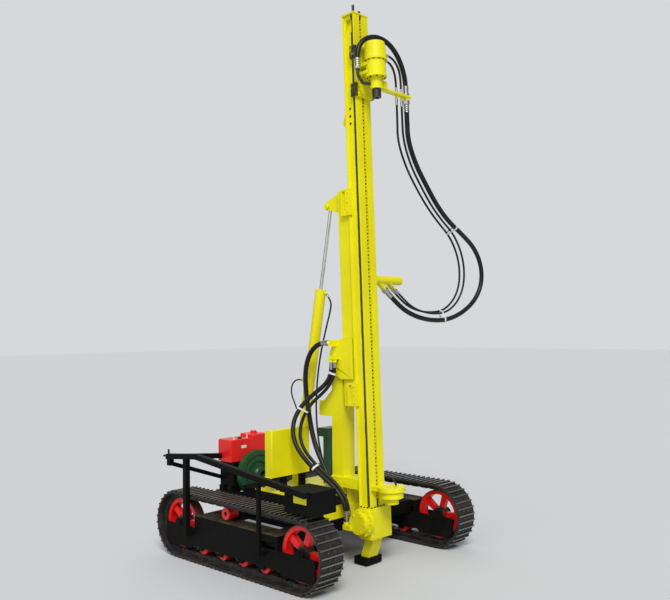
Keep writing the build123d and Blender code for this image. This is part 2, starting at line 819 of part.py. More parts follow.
def chuck():
    body = shaft_z(drill_x, 0, chuck_radius, *chuck_z)
    return body - shaft_z(drill_x, 0, chuck_bore_radius, chuck_z[0] - 1, chuck_z[0] + chuck_bore_depth)


def hose_bracket():
    low, high = bracket_z
    root_half, root_reach, root_low, root_high = bracket_root
    arm = block(drill_x - bracket_half_width, drill_x + bracket_half_width, neck_radius, bracket_end_y, low, high)
    root_x = (drill_x - root_half, drill_x + root_half)
    arm += block(*root_x, 0, neck_radius + root_reach, low + root_low, high + root_high)
    arm -= shaft_z(drill_x, 0, neck_radius + run_gap, low, head_z[0])
    arm -= block(*root_x, -neck_radius, neck_radius / 2, low, head_z[0])
    for points, hose_radius in loop_hoses():
        x, y, z = points[0]
        arm += shaft_z(x, y, hose_radius * nipple_share, z, low)
    for points, hose_radius in head_hoses():
        x, y, z = points[-1]
        arm += shaft_z(x, y, hose_radius * nipple_share, high, z)
    return arm


def air_elbow():
    # Pipe from the air hose into the neck of the head
    route = from_beam_top(air_elbow_run)
    path = FilletPolyline(*route, radius=elbow_bend)
    mouth = Plane(origin=route[0], z_dir=(0, 0, -1))
    nut_radius, nut_height = elbow_nut
    x, y, z = route[0]
    pipe = sweep(mouth * Circle(elbow_radius), path) + shaft_z(x, y, nut_radius, z - nut_height, z)
    return pipe - shaft_z(drill_x, 0, neck_radius + run_gap, neck_bottom, head_z[0])


def lift_axis():
    way = Vector(lift_eye[0] - lift_base[0], 0, lift_eye[1] - lift_base[1])
    return Plane(origin=(lift_base[0], 0, lift_base[1]), x_dir=(0, 1, 0), z_dir=way), way.length


def lift_barrel():
    plane, _ = lift_axis()
    barrel = plane * Pos(0, 0, (barrel_end + barrel_start) / 2) * Cylinder(barrel_radius, barrel_end - barrel_start)
    lug_end = (lift_base[0] + barrel_lug[0], lift_base[1] + barrel_lug[1])
    barrel += link_plate(lift_base, lug_end, eye_radius, -eye_half_width, eye_half_width)
    barrel -= shaft_y(*lift_base, lift_pin_radius + hinge_fit, -barrel_radius, barrel_radius)
    bore = plane * Pos(0, 0, barrel_end / 2 + barrel_start) * Cylinder(rod_radius + rod_fit, barrel_end)
    port = lift_hose[0]
    barrel += bar((port[0] - port_reach, port[1], port[2] + port_reach), port, lift_hose_width / 2 * nipple_share)
    barrel += block(*port_block_x, -lift_hose_width, lift_hose_width, *port_block_z)
    return barrel - bore


def lift_rod():
    plane, length = lift_axis()
    end = length - (eye_radius + lift_pin_radius) / 2
    rod = plane * Pos(0, 0, (rod_start + end) / 2) * Cylinder(rod_radius, end - rod_start)
    rod += shaft_y(*lift_eye, eye_radius, -eye_half_width, eye_half_width)
    return rod - shaft_y(*lift_eye, lift_pin_radius, -eye_radius, eye_radius)


def lift_clevis():
    foot_x = (lift_base[0] - clevis_half, lift_base[0] + clevis_half)
    clevis = block(*foot_x, -clevis_half, clevis_half, deck_top, deck_top + clevis_plate)
    near = eye_half_width + clevis_gap
    for side in (-1, 1):
        span = sorted((side * near, side * (near + ear_thickness)))
        clevis += link_plate(lift_base, (lift_base[0], deck_top + clevis_plate), eye_radius, *span)
    clevis -= block(*foot_x, -clevis_half, clevis_half, deck_top - clevis_half, deck_top)
    return clevis + shaft_y(*lift_base, lift_pin_radius, -clevis_pin_half, clevis_pin_half)


def engine_bed():
    return [block(*x, engine_y[0] - bed_reach[0], engine_rear_y + bed_reach[1], *bed_z) for x in bed_x]


def engine_block():
    body = block(*engine_x, *engine_y, bed_z[1], hood_z[0])
    side, below, above = rear_block_inset
    rear_x = (engine_x[0] + side, engine_x[1] - side)
    body += block(*rear_x, engine_y[1], engine_rear_y, bed_z[1] + below, hood_z[0] - above)
    body += shaft_x(crank_y, crank_z, shaft_radius, engine_x[1], flywheel_x[1])
    return body


def engine_hood():
    # Low part over the cylinder and a higher part beside it, both with rounded edges
    parts = []
    for y, z in ((hood_y, hood_z), ((hood_step_y, hood_y[1]), (hood_z[0], hood_step_top))):
        part = block(engine_x[0], hood_front_x, *y, *z)
        part = fillet(part.edges().filter_by(Axis.Z), hood_round)
        parts.append(fillet(part.edges().group_by(Axis.Z)[-1], hood_round - 1))
    return parts[0] + parts[1]


def flywheel():
    # Turned outline of (x, radius) points: rim, stepped rings on the front and the belt pulley with its groove
    back, front = flywheel_x
    middle = (front + pulley_front_x) / 2
    bore = shaft_radius + run_gap
    points = [(back, bore), (back, flywheel_radius), (front, flywheel_radius)]
    points += [(front - depth, flywheel_radius - inward) for inward, depth in flywheel_rings]
    points += [(front - flywheel_rings[-1][1], pulley_radius), (middle - pulley_groove, pulley_radius),
               (middle, pulley_radius - pulley_groove), (middle + pulley_groove, pulley_radius),
               (pulley_front_x, pulley_radius), (pulley_front_x, bore)]
    return Pos(0, crank_y, crank_z) * revolve(make_face(Polyline(*points, close=True)), Axis.X)


def oil_tank():
    tank = block(*tank_x, *tank_y, *tank_z)
    return fillet(tank.edges().filter_by(Axis.Z), tank_round)


def tank_stand():
    half, width = tank_leg
    middle = sum(tank_x) / 2
    return [block(middle - half, middle + half, y, y + width, deck_top, tank_z[0]) for y in tank_legs_y]


def side_box():
    return block(*box_x, *box_y, *box_z)


def box_plate():
    return block(*box_plate_x, box_y[0] - box_plate_thickness, box_y[0], *box_plate_z)


def guard_height(x):
    # Height of the top rail's middle at a place along it
    for (x0, z0), (x1, z1) in zip(guard_top, guard_top[1:]):
        if x0 <= x <= x1:
            return z0 + (z1 - z0) * (x - x0) / (x1 - x0)


def guard():
    y, width = guard_y, guard_tube
    tubes = [square_tube((x0, y, z0), (x1, y, z1), width) for (x0, z0), (x1, z1) in zip(guard_top, guard_top[1:])]
    tubes += [square_tube(*guard_tie, width), square_tube(*guard_brace, width * 0.8)]
    brace_x, _, brace_z = guard_brace[0]
    tubes.append(square_tube((brace_x, y, brace_z - width * 0.4), (brace_x, y, guard_height(brace_x)), width))
    for x, post_width in guard_posts:
        foot_z = (frame_bottom + skirt_top) / 2
        tubes.append(square_tube((x, y, foot_z - post_width / 2), (x, y, guard_height(x)), post_width))
        tubes.append(square_tube((x, y, foot_z), (x, -gauge / 2 - frame_half_width, foot_z), post_width))
    whole = tubes[0]
    for tube in tubes[1:]:
        whole += tube
    for x in box_spacers_x:
        z = guard_height(x)
        whole += block(x, x + box_spacer_length, y, box_y[0], z - width / 2, min(z + width / 2, box_z[1]))
    whole -= block(*engine_x, *engine_y, bed_z[1], hood_z[0])
    return whole - block(engine_x[0], hood_front_x, *hood_y, *hood_z)


def valve_stand():
    stand = block(*stand_x, *stand_y, deck_top, valve_block_z[0])
    return stand + block(*valve_block_x, *valve_block_y, *valve_block_z)


def hose_plate():
    # Outlet blocks on the hinge bracket's right cheek where the hoses leave the mast
    face = -(post_half_width + cheek_gap + cheek_thickness)
    upper, lower = [block(*x, outlet_y, face, *z) for x, z in outlet_blocks]
    x, y, z = supply_hose[0]
    upper += shaft_x(y, z, air_hose / 2 * nipple_share, x, outlet_blocks[0][0][0])
    for points, hose_radius in feed_hoses():
        x, y, z = points[0]
        lower += shaft_z(x, y, hose_radius * nipple_share, z, outlet_blocks[1][1][0])
    return [upper, lower]


def deck_fittings():
    fittings = []
    for points, hose_radius in ((supply_hose, air_hose / 2), (lift_hose, lift_hose_width / 2)):
        x, y, z = points[-1]
        fittings.append(shaft_z(x, y, hose_radius * nipple_share, deck_top, z))
    return fittings


def hose(points, width):
    # A round hose along straight runs joined by arcs, each as large as its two runs allow
    radii = []
    for before, corner, after in zip(points, points[1:], points[2:]):
        run_in = Vector(*corner) - Vector(*before)
        run_out = Vector(*after) - Vector(*corner)
        turn = math.radians(run_in.get_angle(run_out))
        radii.append(0.45 * min(run_in.length, run_out.length) / math.tan(turn / 2))
    path = FilletPolyline(*points, radius=radii)
    start = Plane(origin=points[0], z_dir=Vector(*points[1]) - Vector(*points[0]))
    tube = sweep(start * Circle(width / 2), path)
    print("hose", round(width), "length", round(path.length), "tightest", round(min(radii)),
          "volume share", round(tube.volume / (math.pi * width ** 2 / 4 * path.length), 4))
    return tube


footprint_y = (guard_y - guard_tube / 2 - 10 + gauge / 2 + shoe_width / 2) / 2
to_frame = Location((0, -footprint_y, 0))


def leaned(shape):
    if isinstance(shape, list):
        return [lean(piece) for piece in shape]
    return lean(shape)


sides = {"right": -gauge / 2, "left": gauge / 2}
nodes = {}
for side, y in sides.items():
    nodes[f"track_{side}"] = track_loop(y)
    nodes[f"track_frame_{side}"] = track_frame(y)
nodes["track_wheels"] = [spoked_wheel(end * wheel_base / 2, y) for y in sides.values() for end in (-1, 1)]
nodes["track_rollers"] = [roller for y in sides.values() for roller in (*bottom_rollers(y), carrier_roller(y))]
nodes["tension_springs"] = [tension_spring(y) for y in sides.values()]
nodes["cross_beams"] = cross_beams()
nodes["chassis_frame"] = chassis_frame()
nodes["deck"] = deck()
nodes["rear_deck"] = deck_plate(deck_rear_x, deck_joint_x)
nodes["mast_post"] = mast_post()
nodes["guard"] = guard()
nodes["side_box"] = side_box()
nodes["box_plate"] = box_plate()
nodes["oil_tank"] = oil_tank()
nodes["tank_stand"] = tank_stand()
nodes["valve_stand"] = valve_stand()
nodes["engine_bed"] = engine_bed()
nodes["engine_block"] = engine_block()
nodes["engine_hood"] = engine_hood()
nodes["flywheel"] = flywheel()
nodes["lift_clevis"] = lift_clevis()
nodes["lift_barrel"] = lift_barrel()
nodes["lift_rod"] = lift_rod()
nodes["mast_column"] = leaned(mast_column())
nodes["hinge_bracket"] = leaned(hinge_bracket())
nodes["beam_guides"] = leaned(beam_guides())
nodes["rod_ears"] = leaned(rod_ears())
nodes["feed_beam"] = leaned(feed_beam())
nodes["feed_chain"] = leaned(feed_chain())
nodes["beam_cap"] = leaned(beam_cap())
nodes["beam_lug"] = leaned(beam_lug())
nodes["gearbox"] = leaned(gearbox())
nodes["feed_motor"] = feed_motor()
nodes["foot_leg"] = foot_leg()
nodes["foot_pad"] = foot_pad()
nodes["centralizer"] = leaned(centralizer())
nodes["hose_arm"] = leaned(hose_arm())
nodes["carriage"] = leaned(carriage())
nodes["guide_slippers"] = leaned(guide_slippers())
nodes["rotary_head"] = leaned(rotary_head())
nodes["hose_bracket"] = leaned(hose_bracket())
nodes["chuck"] = leaned(chuck())
nodes["air_elbow"] = leaned(air_elbow())
nodes["hose_plate"] = hose_plate()
nodes["deck_fittings"] = deck_fittings()
nodes["air_jumper"] = leaned(hose(from_beam_top(air_jumper), air_hose))
nodes["motor_jumper_a"] = leaned(hose(from_beam_top(motor_jumper_a), thin_hose))
nodes["motor_jumper_b"] = leaned(hose(from_beam_top(motor_jumper_b), thin_hose))
nodes["air_loop"] = leaned(hose(air_loop, air_hose))
nodes["motor_loop_a"] = leaned(hose(motor_loop_a, thin_hose))
nodes["motor_loop_b"] = leaned(hose(motor_loop_b, thin_hose))
nodes["supply_hose"] = hose(supply_hose, air_hose)
nodes["feed_hose_a"] = hose(feed_hose_a, feed_widths[0])
nodes["feed_hose_b"] = hose(feed_hose_b, feed_widths[1])
nodes["lift_hose"] = hose(lift_hose, lift_hose_width)

os.makedirs("parts", exist_ok=True)
for name, shape in nodes.items():
    pieces = [piece.moved(to_frame) for piece in (shape if isinstance(shape, list) else [shape])]
    export_step(pieces[0] if len(pieces) == 1 else Compound(pieces), f"parts/{name}.step")
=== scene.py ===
import math
import bmesh
import bpy
import numpy as np
from mathutils import Matrix


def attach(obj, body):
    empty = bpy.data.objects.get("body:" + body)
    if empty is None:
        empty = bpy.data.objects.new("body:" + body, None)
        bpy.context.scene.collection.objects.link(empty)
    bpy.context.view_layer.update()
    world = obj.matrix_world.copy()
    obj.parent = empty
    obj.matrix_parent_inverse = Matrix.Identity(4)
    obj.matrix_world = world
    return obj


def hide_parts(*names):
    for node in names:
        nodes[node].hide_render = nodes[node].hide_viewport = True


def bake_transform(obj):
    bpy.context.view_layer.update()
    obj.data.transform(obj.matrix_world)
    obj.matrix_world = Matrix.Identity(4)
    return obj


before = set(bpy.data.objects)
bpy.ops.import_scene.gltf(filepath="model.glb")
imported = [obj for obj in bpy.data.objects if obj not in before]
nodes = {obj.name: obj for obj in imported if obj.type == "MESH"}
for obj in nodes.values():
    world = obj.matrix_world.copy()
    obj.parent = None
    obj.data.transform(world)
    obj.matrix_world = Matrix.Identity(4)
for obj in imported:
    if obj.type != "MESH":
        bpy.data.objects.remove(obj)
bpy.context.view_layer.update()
scene = bpy.context.scene
scene.view_settings.view_transform = "Standard"
print("frame loaded:", len(nodes), "CAD nodes")

# camera where the photograph was taken from
cameraSet = {"place": (5.279, -5.211, 2.060), "yaw": 43.660, "pitch": 2.020, "roll": -0.595, "lens": 42.52,
             "sensor": 36.0, "farthest": 200.0}


def aim(name, data, axes, place):  # links a camera or lamp whose own x, y and z lie along the given axes
    holder = bpy.data.objects.new(name, data)
    scene.collection.objects.link(holder)
    turn = np.eye(4)
    turn[:3] = np.c_[np.transpose(axes), place]
    holder.matrix_world = Matrix(turn.tolist())
    return holder


def makeCamera(spec):
    yaw, pitch, roll = (math.radians(spec[key]) for key in ("yaw", "pitch", "roll"))
    ahead = np.array([-math.sin(yaw) * math.cos(pitch), math.cos(yaw) * math.cos(pitch), math.sin(pitch)])
    right = np.array([math.cos(yaw), math.sin(yaw), 0.0])
    above = np.cross(right, ahead)
    turnedRight = math.cos(roll) * right + math.sin(roll) * above
    turnedUp = -math.sin(roll) * right + math.cos(roll) * above
    lens = bpy.data.cameras.new("viewer")
    lens.lens, lens.sensor_width, lens.clip_end = spec["lens"], spec["sensor"], spec["farthest"]
    scene.camera = aim("viewer", lens, (turnedRight, turnedUp, -ahead), spec["place"])


makeCamera(cameraSet)
print("camera set")

# the mast is laid out upright and leaned about its hinge pin; the machine's middle is at sideShift
mastSet = {"lean": 1.87, "hinge": (0.360, 1.690), "sideShift": 0.030}
leanCos, leanSin = math.cos(math.radians(mastSet["lean"])), math.sin(math.radians(mastSet["lean"]))
perMetre = 1000.0


def onMachine(points):  # millimetres in the machine's frame to metres in the CAD frame
    return np.asarray(points, float) / perMetre + np.array([0.0, mastSet["sideShift"], 0.0])


def mastWay(direction):  # a direction on the upright mast, turned back by the lean
    x, y, z = np.moveaxis(np.asarray(direction, float), -1, 0)
    return np.stack([x * leanCos - z * leanSin, y, x * leanSin + z * leanCos], -1)


def onMast(points):  # upright mast millimetres, turned back about the hinge by the lean
    hingeX, hingeZ = mastSet["hinge"]
    pin = np.array([hingeX, 0.0, hingeZ])
    return mastWay(np.asarray(points, float) / perMetre - pin) + pin + np.array([0.0, mastSet["sideShift"], 0.0])


def placed(inFrame, points):  # millimetres in the named frame to metres in the CAD frame
    return onMast(points) if inFrame == "mast" else onMachine(points)


def frameOf(body):  # the frame that a body's bolts and beads are laid out in
    return "machine" if body == "chassis" else "mast"


def facing(inFrame, way):  # a direction in the named frame
    return mastWay(way) if inFrame == "mast" else way


# shader helpers: a wrapped socket whose operators add Math nodes, and one method for every other node
class Sock:
    def __init__(self, tree, socket):
        self.tree = tree
        self.socket = socket

    def math(self, operation, first, second):
        made = self.tree.nodes.new("ShaderNodeMath")
        made.operation = operation
        for slot, item in zip(made.inputs, (first, second)):
            putInto(self.tree, slot, item)
        return Sock(self.tree, made.outputs[0])

    def __add__(self, other):
        return self.math("ADD", self, other)

    def __radd__(self, other):
        return self.math("ADD", other, self)

    def __sub__(self, other):
        return self.math("SUBTRACT", self, other)

    def __rsub__(self, other):
        return self.math("SUBTRACT", other, self)

    def __mul__(self, other):
        return self.math("MULTIPLY", self, other)

    def __rmul__(self, other):
        return self.math("MULTIPLY", other, self)

    def __truediv__(self, other):
        return self.math("DIVIDE", self, other)

    def __pow__(self, other):
        return self.math("POWER", self, other)

    def __lt__(self, other):
        return self.math("LESS_THAN", self, other)

    def most(self, other):
        return self.math("MAXIMUM", self, other)

    def abs(self):
        return self.math("ABSOLUTE", self, 0.0)

    def sin(self):
        return self.math("SINE", self, 0.0)

    def fraction(self):
        return self.math("FRACT", self, 0.0)


def putInto(tree, slot, item):
    if isinstance(item, Sock):
        tree.links.new(item.socket, slot)
    else:
        colour = slot.type == "RGBA" and len(item) == 3
        slot.default_value = (*item, 1.0) if colour else item


class Finish:
    def __init__(self, name):
        self.material = bpy.data.materials.new(name)
        self.material.use_nodes = True
        self.tree = self.material.node_tree
        self.tree.nodes.clear()

    def node(self, kind, settings, inputs, output=0):
        made = self.tree.nodes.new("ShaderNode" + kind)
        for key, item in settings.items():
            setattr(made, key, item)
        for key, item in inputs.items():
            putInto(self.tree, made.inputs[key], item)
        return Sock(self.tree, made.outputs[output])

    def place(self):
        return self.node("TexCoord", {}, {}, "Object")

    def uv(self):
        return self.node("UVMap", {}, {}, "UV")

    def parts(self, vector):
        split = self.tree.nodes.new("ShaderNodeSeparateXYZ")
        putInto(self.tree, split.inputs[0], vector)
        return [Sock(self.tree, out) for out in split.outputs]

    def noise(self, vector, scale, detail=3.0, rough=0.5):
        inputs = {"Vector": vector, "Scale": scale, "Detail": detail, "Roughness": rough}
        return self.node("TexNoise", {}, inputs, "Fac")

    def stretched(self, vector, factors):
        return self.node("Mapping", {}, {"Vector": vector, "Scale": factors})

    def ramp(self, value, low, high):
        limits = {"From Min": low, "From Max": high, "To Min": 0.0, "To Max": 1.0}
        return self.node("MapRange", {"clamp": True}, {"Value": value, **limits})

    def mask(self, vector, look, key):  # one of a look's noises, ramped over its range
        return self.ramp(self.noise(vector, *look[key]), *look[key + "Range"])

    def mix(self, share, first, second):
        return self.node("Mix", {"data_type": "RGBA"}, {"Factor": share, 6: first, 7: second}, 2)

    def bump(self, height, strength, distance):
        return self.node("Bump", {}, {"Strength": strength, "Distance": distance, "Height": height})

    def edge(self, radius):  # how far the rounded normal leaves the face's own one
        rounded = self.node("Bevel", {"samples": 4}, {"Radius": radius})
        flat = self.node("NewGeometry", {}, {}, "Normal")
        dot = self.node("VectorMath", {"operation": "DOT_PRODUCT"}, {0: rounded, 1: flat}, "Value")
        return 1.0 - dot

    def close(self, tone, rough, normal=None, metal=0.0, shine=0.5):
        values = {"Base Color": tone, "Roughness": rough, "Metallic": metal, "Specular IOR Level": shine}
        if normal is not None:
            values["Normal"] = normal
        shader = self.node("BsdfPrincipled", {}, values, "BSDF")
        out = self.tree.nodes.new("ShaderNodeOutputMaterial")
        self.tree.links.new(shader.socket, out.inputs["Surface"])
        return self.material


# in these dictionaries a noise is (scale, detail, roughness), a bump (strength, distance), and a range the values
# where a mask starts and where it is full
paintSet = {
    "yellow": {"tone": (0.85, 0.79, 0.003), "deep": (0.77, 0.69, 0.003), "chip": (0.16, 0.13, 0.08),
               "rough": 0.40, "dust": 0.14, "dustTop": 0.9, "shine": 0.32},
    "red": {"tone": (0.86, 0.010, 0.010), "deep": (0.70, 0.007, 0.007), "chip": (0.10, 0.06, 0.05),
            "rough": 0.33, "dust": 0.18, "dustTop": 0.7, "shine": 0.5},
    "black": {"tone": (0.0032, 0.0032, 0.0034), "deep": (0.0024, 0.0024, 0.0026), "chip": (0.030, 0.028, 0.026),
              "rough": 0.55, "dust": 0.05, "dustTop": 1.0, "shine": 0.10},
    "green": {"tone": (0.014, 0.090, 0.032), "deep": (0.009, 0.058, 0.022), "chip": (0.12, 0.14, 0.11),
              "rough": 0.36, "dust": 0.12, "dustTop": 0.8, "shine": 0.5},
}
paintLook = {"cloud": (2.2, 4.0), "cloudRange": (0.38, 0.68), "cloudRough": 0.06,
             "grain": (38.0, 5.0, 0.65), "grainGain": 1.2, "edgeRadius": 0.003, "edgeGain": 1.9,
             "chipRange": (0.44, 0.56), "chipShare": 0.55, "chipRough": 0.2, "chipDepth": -0.6,
             "dust": (9.0, 5.0, 0.6), "dustRange": (0.40, 0.75), "dustTone": (0.15, 0.12, 0.085), "dustRough": 0.35,
             "earth": (7.0, 5.0, 0.65), "earthRange": (0.30, 0.60), "earthShare": 0.85,
             "earthTone": (0.105, 0.080, 0.050), "shelfRise": (-0.003, -0.001), "shelfFall": (0.006, 0.003),
             "greaseShade": (11.0, 4.0), "greaseShadeWander": 0.014, "greaseShadeEdge": 0.004, "greaseShadeShare": 0.92,
             "streak": (3.0, 3.0), "streakStretch": (14.0, 14.0, 0.9), "streakRange": (0.55, 0.8),
             "streakRough": 0.05, "peel": (260.0, 2.0), "peelBump": (0.05, 0.002)}
# dark tone of grease, also used as painted shade in the feed beam's groove and in the gaps between the chain's
# rollers
greaseShadeTone = (0.012, 0.010, 0.006)


def mastParts(finish, place):  # depth, side and height sockets in the upright mast's frame
    x, y, z = finish.parts(place)
    hingeX, hingeZ = mastSet["hinge"]
    forward, rise = x - hingeX, z - hingeZ
    depth = forward * leanCos + rise * leanSin + hingeX
    height = rise * leanCos - forward * leanSin + hingeZ
    return depth, (y - mastSet["sideShift"]).abs(), height


# sprayed enamel: cloudy tone, orange peel, chipped edges, dust low down; split is (axis, limit, tone) of a dark
# colour below that limit as painted shade, shelf the height of a flat top with earth on it, groove (half width, back,
# front) of grease and painted shadow
def paintFinish(name, spec, split=None, shelf=None, groove=None, look=paintLook):
    paint = Finish(name)
    place = paint.place()
    x, y, z = paint.parts(place)
    cloud = paint.mask(place, look, "cloud")
    tone = paint.mix(cloud, spec["tone"], spec["deep"])
    grain = paint.noise(place, *look["grain"])
    chips = paint.edge(look["edgeRadius"]) * look["edgeGain"] + (grain - 0.5) * look["grainGain"]
    chips = paint.ramp(chips, *look["chipRange"])
    tone = paint.mix(chips * look["chipShare"], tone, spec["chip"])
    dusty = paint.ramp(z, spec["dustTop"], 0.0) * paint.mask(place, look, "dust")
    tone = paint.mix(dusty * spec["dust"], tone, look["dustTone"])
    # a split paints black below its limit: painted shade where the deck's skirts and the chassis rails lie in shadow
    if split:
        axis, limit, other = split
        tone = paint.mix((x, y, z)[axis] < limit, tone, other)
    if shelf:
        rise, fall = ([shelf + step for step in look[key]] for key in ("shelfRise", "shelfFall"))
        lying = paint.ramp(z, *rise) * paint.ramp(z, *fall) * paint.mask(place, look, "earth")
        tone = paint.mix(lying * look["earthShare"], tone, look["earthTone"])
    # the groove's dark streak is grease and a painted shadow of the front flange on the web
    if groove:
        half, back, front = groove
        depth, side, height = mastParts(paint, place)
        wander = (paint.noise(place, *look["greaseShade"]) - 0.5) * look["greaseShadeWander"]
        shadedGreaseMask = paint.ramp(depth + wander, back, back + look["greaseShadeEdge"]) * (depth < front) * (side < half)
        tone = paint.mix(shadedGreaseMask * look["greaseShadeShare"], tone, greaseShadeTone)
    streak = paint.mask(paint.stretched(place, look["streakStretch"]), look, "streak")
    rough = spec["rough"] + cloud * look["cloudRough"] + dusty * look["dustRough"]
    rough = rough + chips * look["chipRough"] + streak * look["streakRough"]
    peel = paint.noise(place, *look["peel"]) + chips * look["chipDepth"]
    return paint.close(tone, rough, paint.bump(peel, *look["peelBump"]), shine=spec["shine"])


trackSet = {"reach": 0.785, "axle": 0.300, "plate": 0.286, "tip": 0.300, "cloud": (16.0, 5.0, 0.6),
            "fine": (90.0, 4.0, 0.6), "wander": 0.006, "wornBand": (0.005, 0.001), "earthBand": 0.004,
            "earthFine": 0.35, "earthRange": (0.62, 0.86), "dark": (0.010, 0.010, 0.0105),
            "light": (0.022, 0.021, 0.020), "earth": (0.075, 0.060, 0.042), "bright": (0.36, 0.35, 0.33),
            "earthShare": 0.45, "wornShare": 0.8, "rough": 0.52, "earthRough": 0.35, "wornRough": 0.18,
            "metal": 0.15, "wornMetal": 0.75, "cloudDepth": 0.6, "bump": (0.35, 0.004)}


def fromAxle(past, rise):  # distance from the nearer axle's line
    return (past * past + rise * rise) ** 0.5


def trackFinish(name, spec):  # worn cast steel: bright on the lugs' tips, earth between them
    steel = Finish(name)
    place = steel.place()
    x, y, z = steel.parts(place)
    out = fromAxle((x.abs() - spec["reach"]).most(0.0), z - spec["axle"])
    cloud = steel.noise(place, *spec["cloud"])
    fine = steel.noise(place, *spec["fine"])
    worn = steel.ramp(out + (cloud - 0.5) * spec["wander"], *(spec["tip"] - step for step in spec["wornBand"]))
    earth = steel.ramp(cloud + fine * spec["earthFine"], *spec["earthRange"])
    earth = earth * steel.ramp(out, spec["tip"] - spec["earthBand"], spec["plate"])
    tone = steel.mix(cloud, spec["dark"], spec["light"])
    tone = steel.mix(earth * spec["earthShare"], tone, spec["earth"])
    tone = steel.mix(worn * spec["wornShare"], tone, spec["bright"])
    rough = spec["rough"] + earth * spec["earthRough"] - worn * spec["wornRough"]
    height = steel.bump(fine + cloud * spec["cloudDepth"], *spec["bump"])
    return steel.close(tone, rough, height, metal=spec["metal"] + worn * spec["wornMetal"])


bareLook = {"stretch": (1.0, 1.0, 0.12), "markDetail": (4.0, 0.6), "cloud": (12.0, 4.0), "cloudRange": (0.4, 0.75),
            "cloudShare": 0.35, "darker": 0.55, "markRough": 0.12, "cloudRough": 0.08, "bump": (0.06, 0.001)}
bareSet = {"springSteel": {"tone": (0.045, 0.045, 0.047), "rough": 0.30, "metal": 0.7, "marks": 160.0},
           # tone of the dark strip in the chain's slot, which is painted shade
           "paintedShadeStrip": {"tone": (0.010, 0.009, 0.007), "rough": 0.34, "metal": 0.1, "marks": 90.0},
           "plated": {"tone": (0.50, 0.50, 0.49), "rough": 0.22, "metal": 1.0, "marks": 240.0},
           "darkSteel": {"tone": (0.075, 0.073, 0.070), "rough": 0.30, "metal": 0.9, "marks": 200.0},
           "chromeRod": {"tone": (0.78, 0.78, 0.78), "rough": 0.10, "metal": 1.0, "marks": 300.0}}


def bareFinish(name, spec, look=bareLook):  # brushed or plated bare metal with fine marks
    bare = Finish(name)
    place = bare.place()
    marks = bare.noise(bare.stretched(place, look["stretch"]), spec["marks"], *look["markDetail"])
    cloud = bare.mask(place, look, "cloud")
    tone = bare.mix(cloud * look["cloudShare"], spec["tone"], tuple(v * look["darker"] for v in spec["tone"]))
    rough = spec["rough"] + marks * look["markRough"] + cloud * look["cloudRough"]
    return bare.close(tone, rough, bare.bump(marks, *look["bump"]), spec["metal"])


hoseLook = {"tone": (0.007, 0.007, 0.0075), "wraps": 420.0, "wrapPower": 3.0, "dust": (14.0, 4.0, 0.6),
            "dustRange": (0.52, 0.8), "dustShare": 0.4, "dustTone": (0.034, 0.032, 0.030), "grain": (300.0, 2.0),
            "grainShare": 0.4, "bump": (0.25, 0.0012), "shine": 0.32, "rough": 0.38, "dustRough": 0.3,
            "wrapRough": 0.05}


def hoseFinish(name, look):  # wrapped rubber: slanting wrap marks along the hose, dusty patches
    rubber = Finish(name)
    u, v, w = rubber.parts(rubber.uv())
    wrap = ((v * look["wraps"] + u * (2.0 * math.pi)).sin() * 0.5 + 0.5) ** look["wrapPower"]
    place = rubber.place()
    dust = rubber.mask(place, look, "dust")
    tone = rubber.mix(dust * look["dustShare"], look["tone"], look["dustTone"])
    rough = look["rough"] + dust * look["dustRough"] - wrap * look["wrapRough"]
    height = wrap + rubber.noise(place, *look["grain"]) * look["grainShare"]
    return rubber.close(tone, rough, rubber.bump(height, *look["bump"]), shine=look["shine"])


tieLook = {"tone": (0.80, 0.79, 0.75), "dirtTone": (0.55, 0.52, 0.46), "dirt": (60.0, 3.0), "dirtRange": (0.5, 0.8),
           "dirtShare": 0.4, "dirtRough": 0.2, "grain": (400.0, 2.0), "bump": (0.1, 0.0006), "shine": 0.4,
           "rough": 0.45}


def tieFinish(name, look):  # white nylon, a little soiled
    nylon = Finish(name)
    place = nylon.place()
    dirt = nylon.mask(place, look, "dirt")
    tone = nylon.mix(dirt * look["dirtShare"], look["tone"], look["dirtTone"])
    height = nylon.bump(nylon.noise(place, *look["grain"]), *look["bump"])
    return nylon.close(tone, look["rough"] + dirt * look["dirtRough"], height, shine=look["shine"])


wheelLook = {"cloud": (14.0, 5.0, 0.6), "cloudRange": (0.4, 0.7), "hub": (0.085, 0.060), "hubWander": 0.05,
             "hubTone": (0.012, 0.011, 0.011), "hubRough": 0.15, "tread": (0.212, 0.219), "treadWander": 0.012,
             "treadTone": (0.030, 0.026, 0.022), "treadShare": 0.9, "treadRough": 0.25, "bump": (0.08, 0.003)}


def wheelFinish(name, spec, track, look):  # red enamel, with dark grease and painted shade over the hub and earth on the rim's tread
    wheel = Finish(name)
    place = wheel.place()
    x, y, z = wheel.parts(place)
    out = fromAxle(x.abs() - track["reach"], z - track["axle"])
    cloud = wheel.noise(place, *look["cloud"])
    tone = wheel.mix(wheel.ramp(cloud, *look["cloudRange"]), spec["tone"], spec["deep"])
    # the hub's dark tone is grease and painted shade
    greaseShade = wheel.ramp(out + (cloud - 0.5) * look["hubWander"], *look["hub"])
    tone = wheel.mix(greaseShade, tone, look["hubTone"])
    tread = wheel.ramp(out + (cloud - 0.5) * look["treadWander"], *look["tread"])
    tone = wheel.mix(tread * look["treadShare"], tone, look["treadTone"])
    rough = spec["rough"] + greaseShade * look["hubRough"] + tread * look["treadRough"]
    return wheel.close(tone, rough, wheel.bump(cloud, *look["bump"]))


smearLook = {"tone": (0.050, 0.044, 0.010), "cover": (11.0, 4.0, 0.55), "coverRange": (0.295, 0.495),
             "grain": (120.0, 3.0), "grainShare": 0.5, "bump": (0.2, 0.002), "rough": 0.42, "coverRough": 0.14}


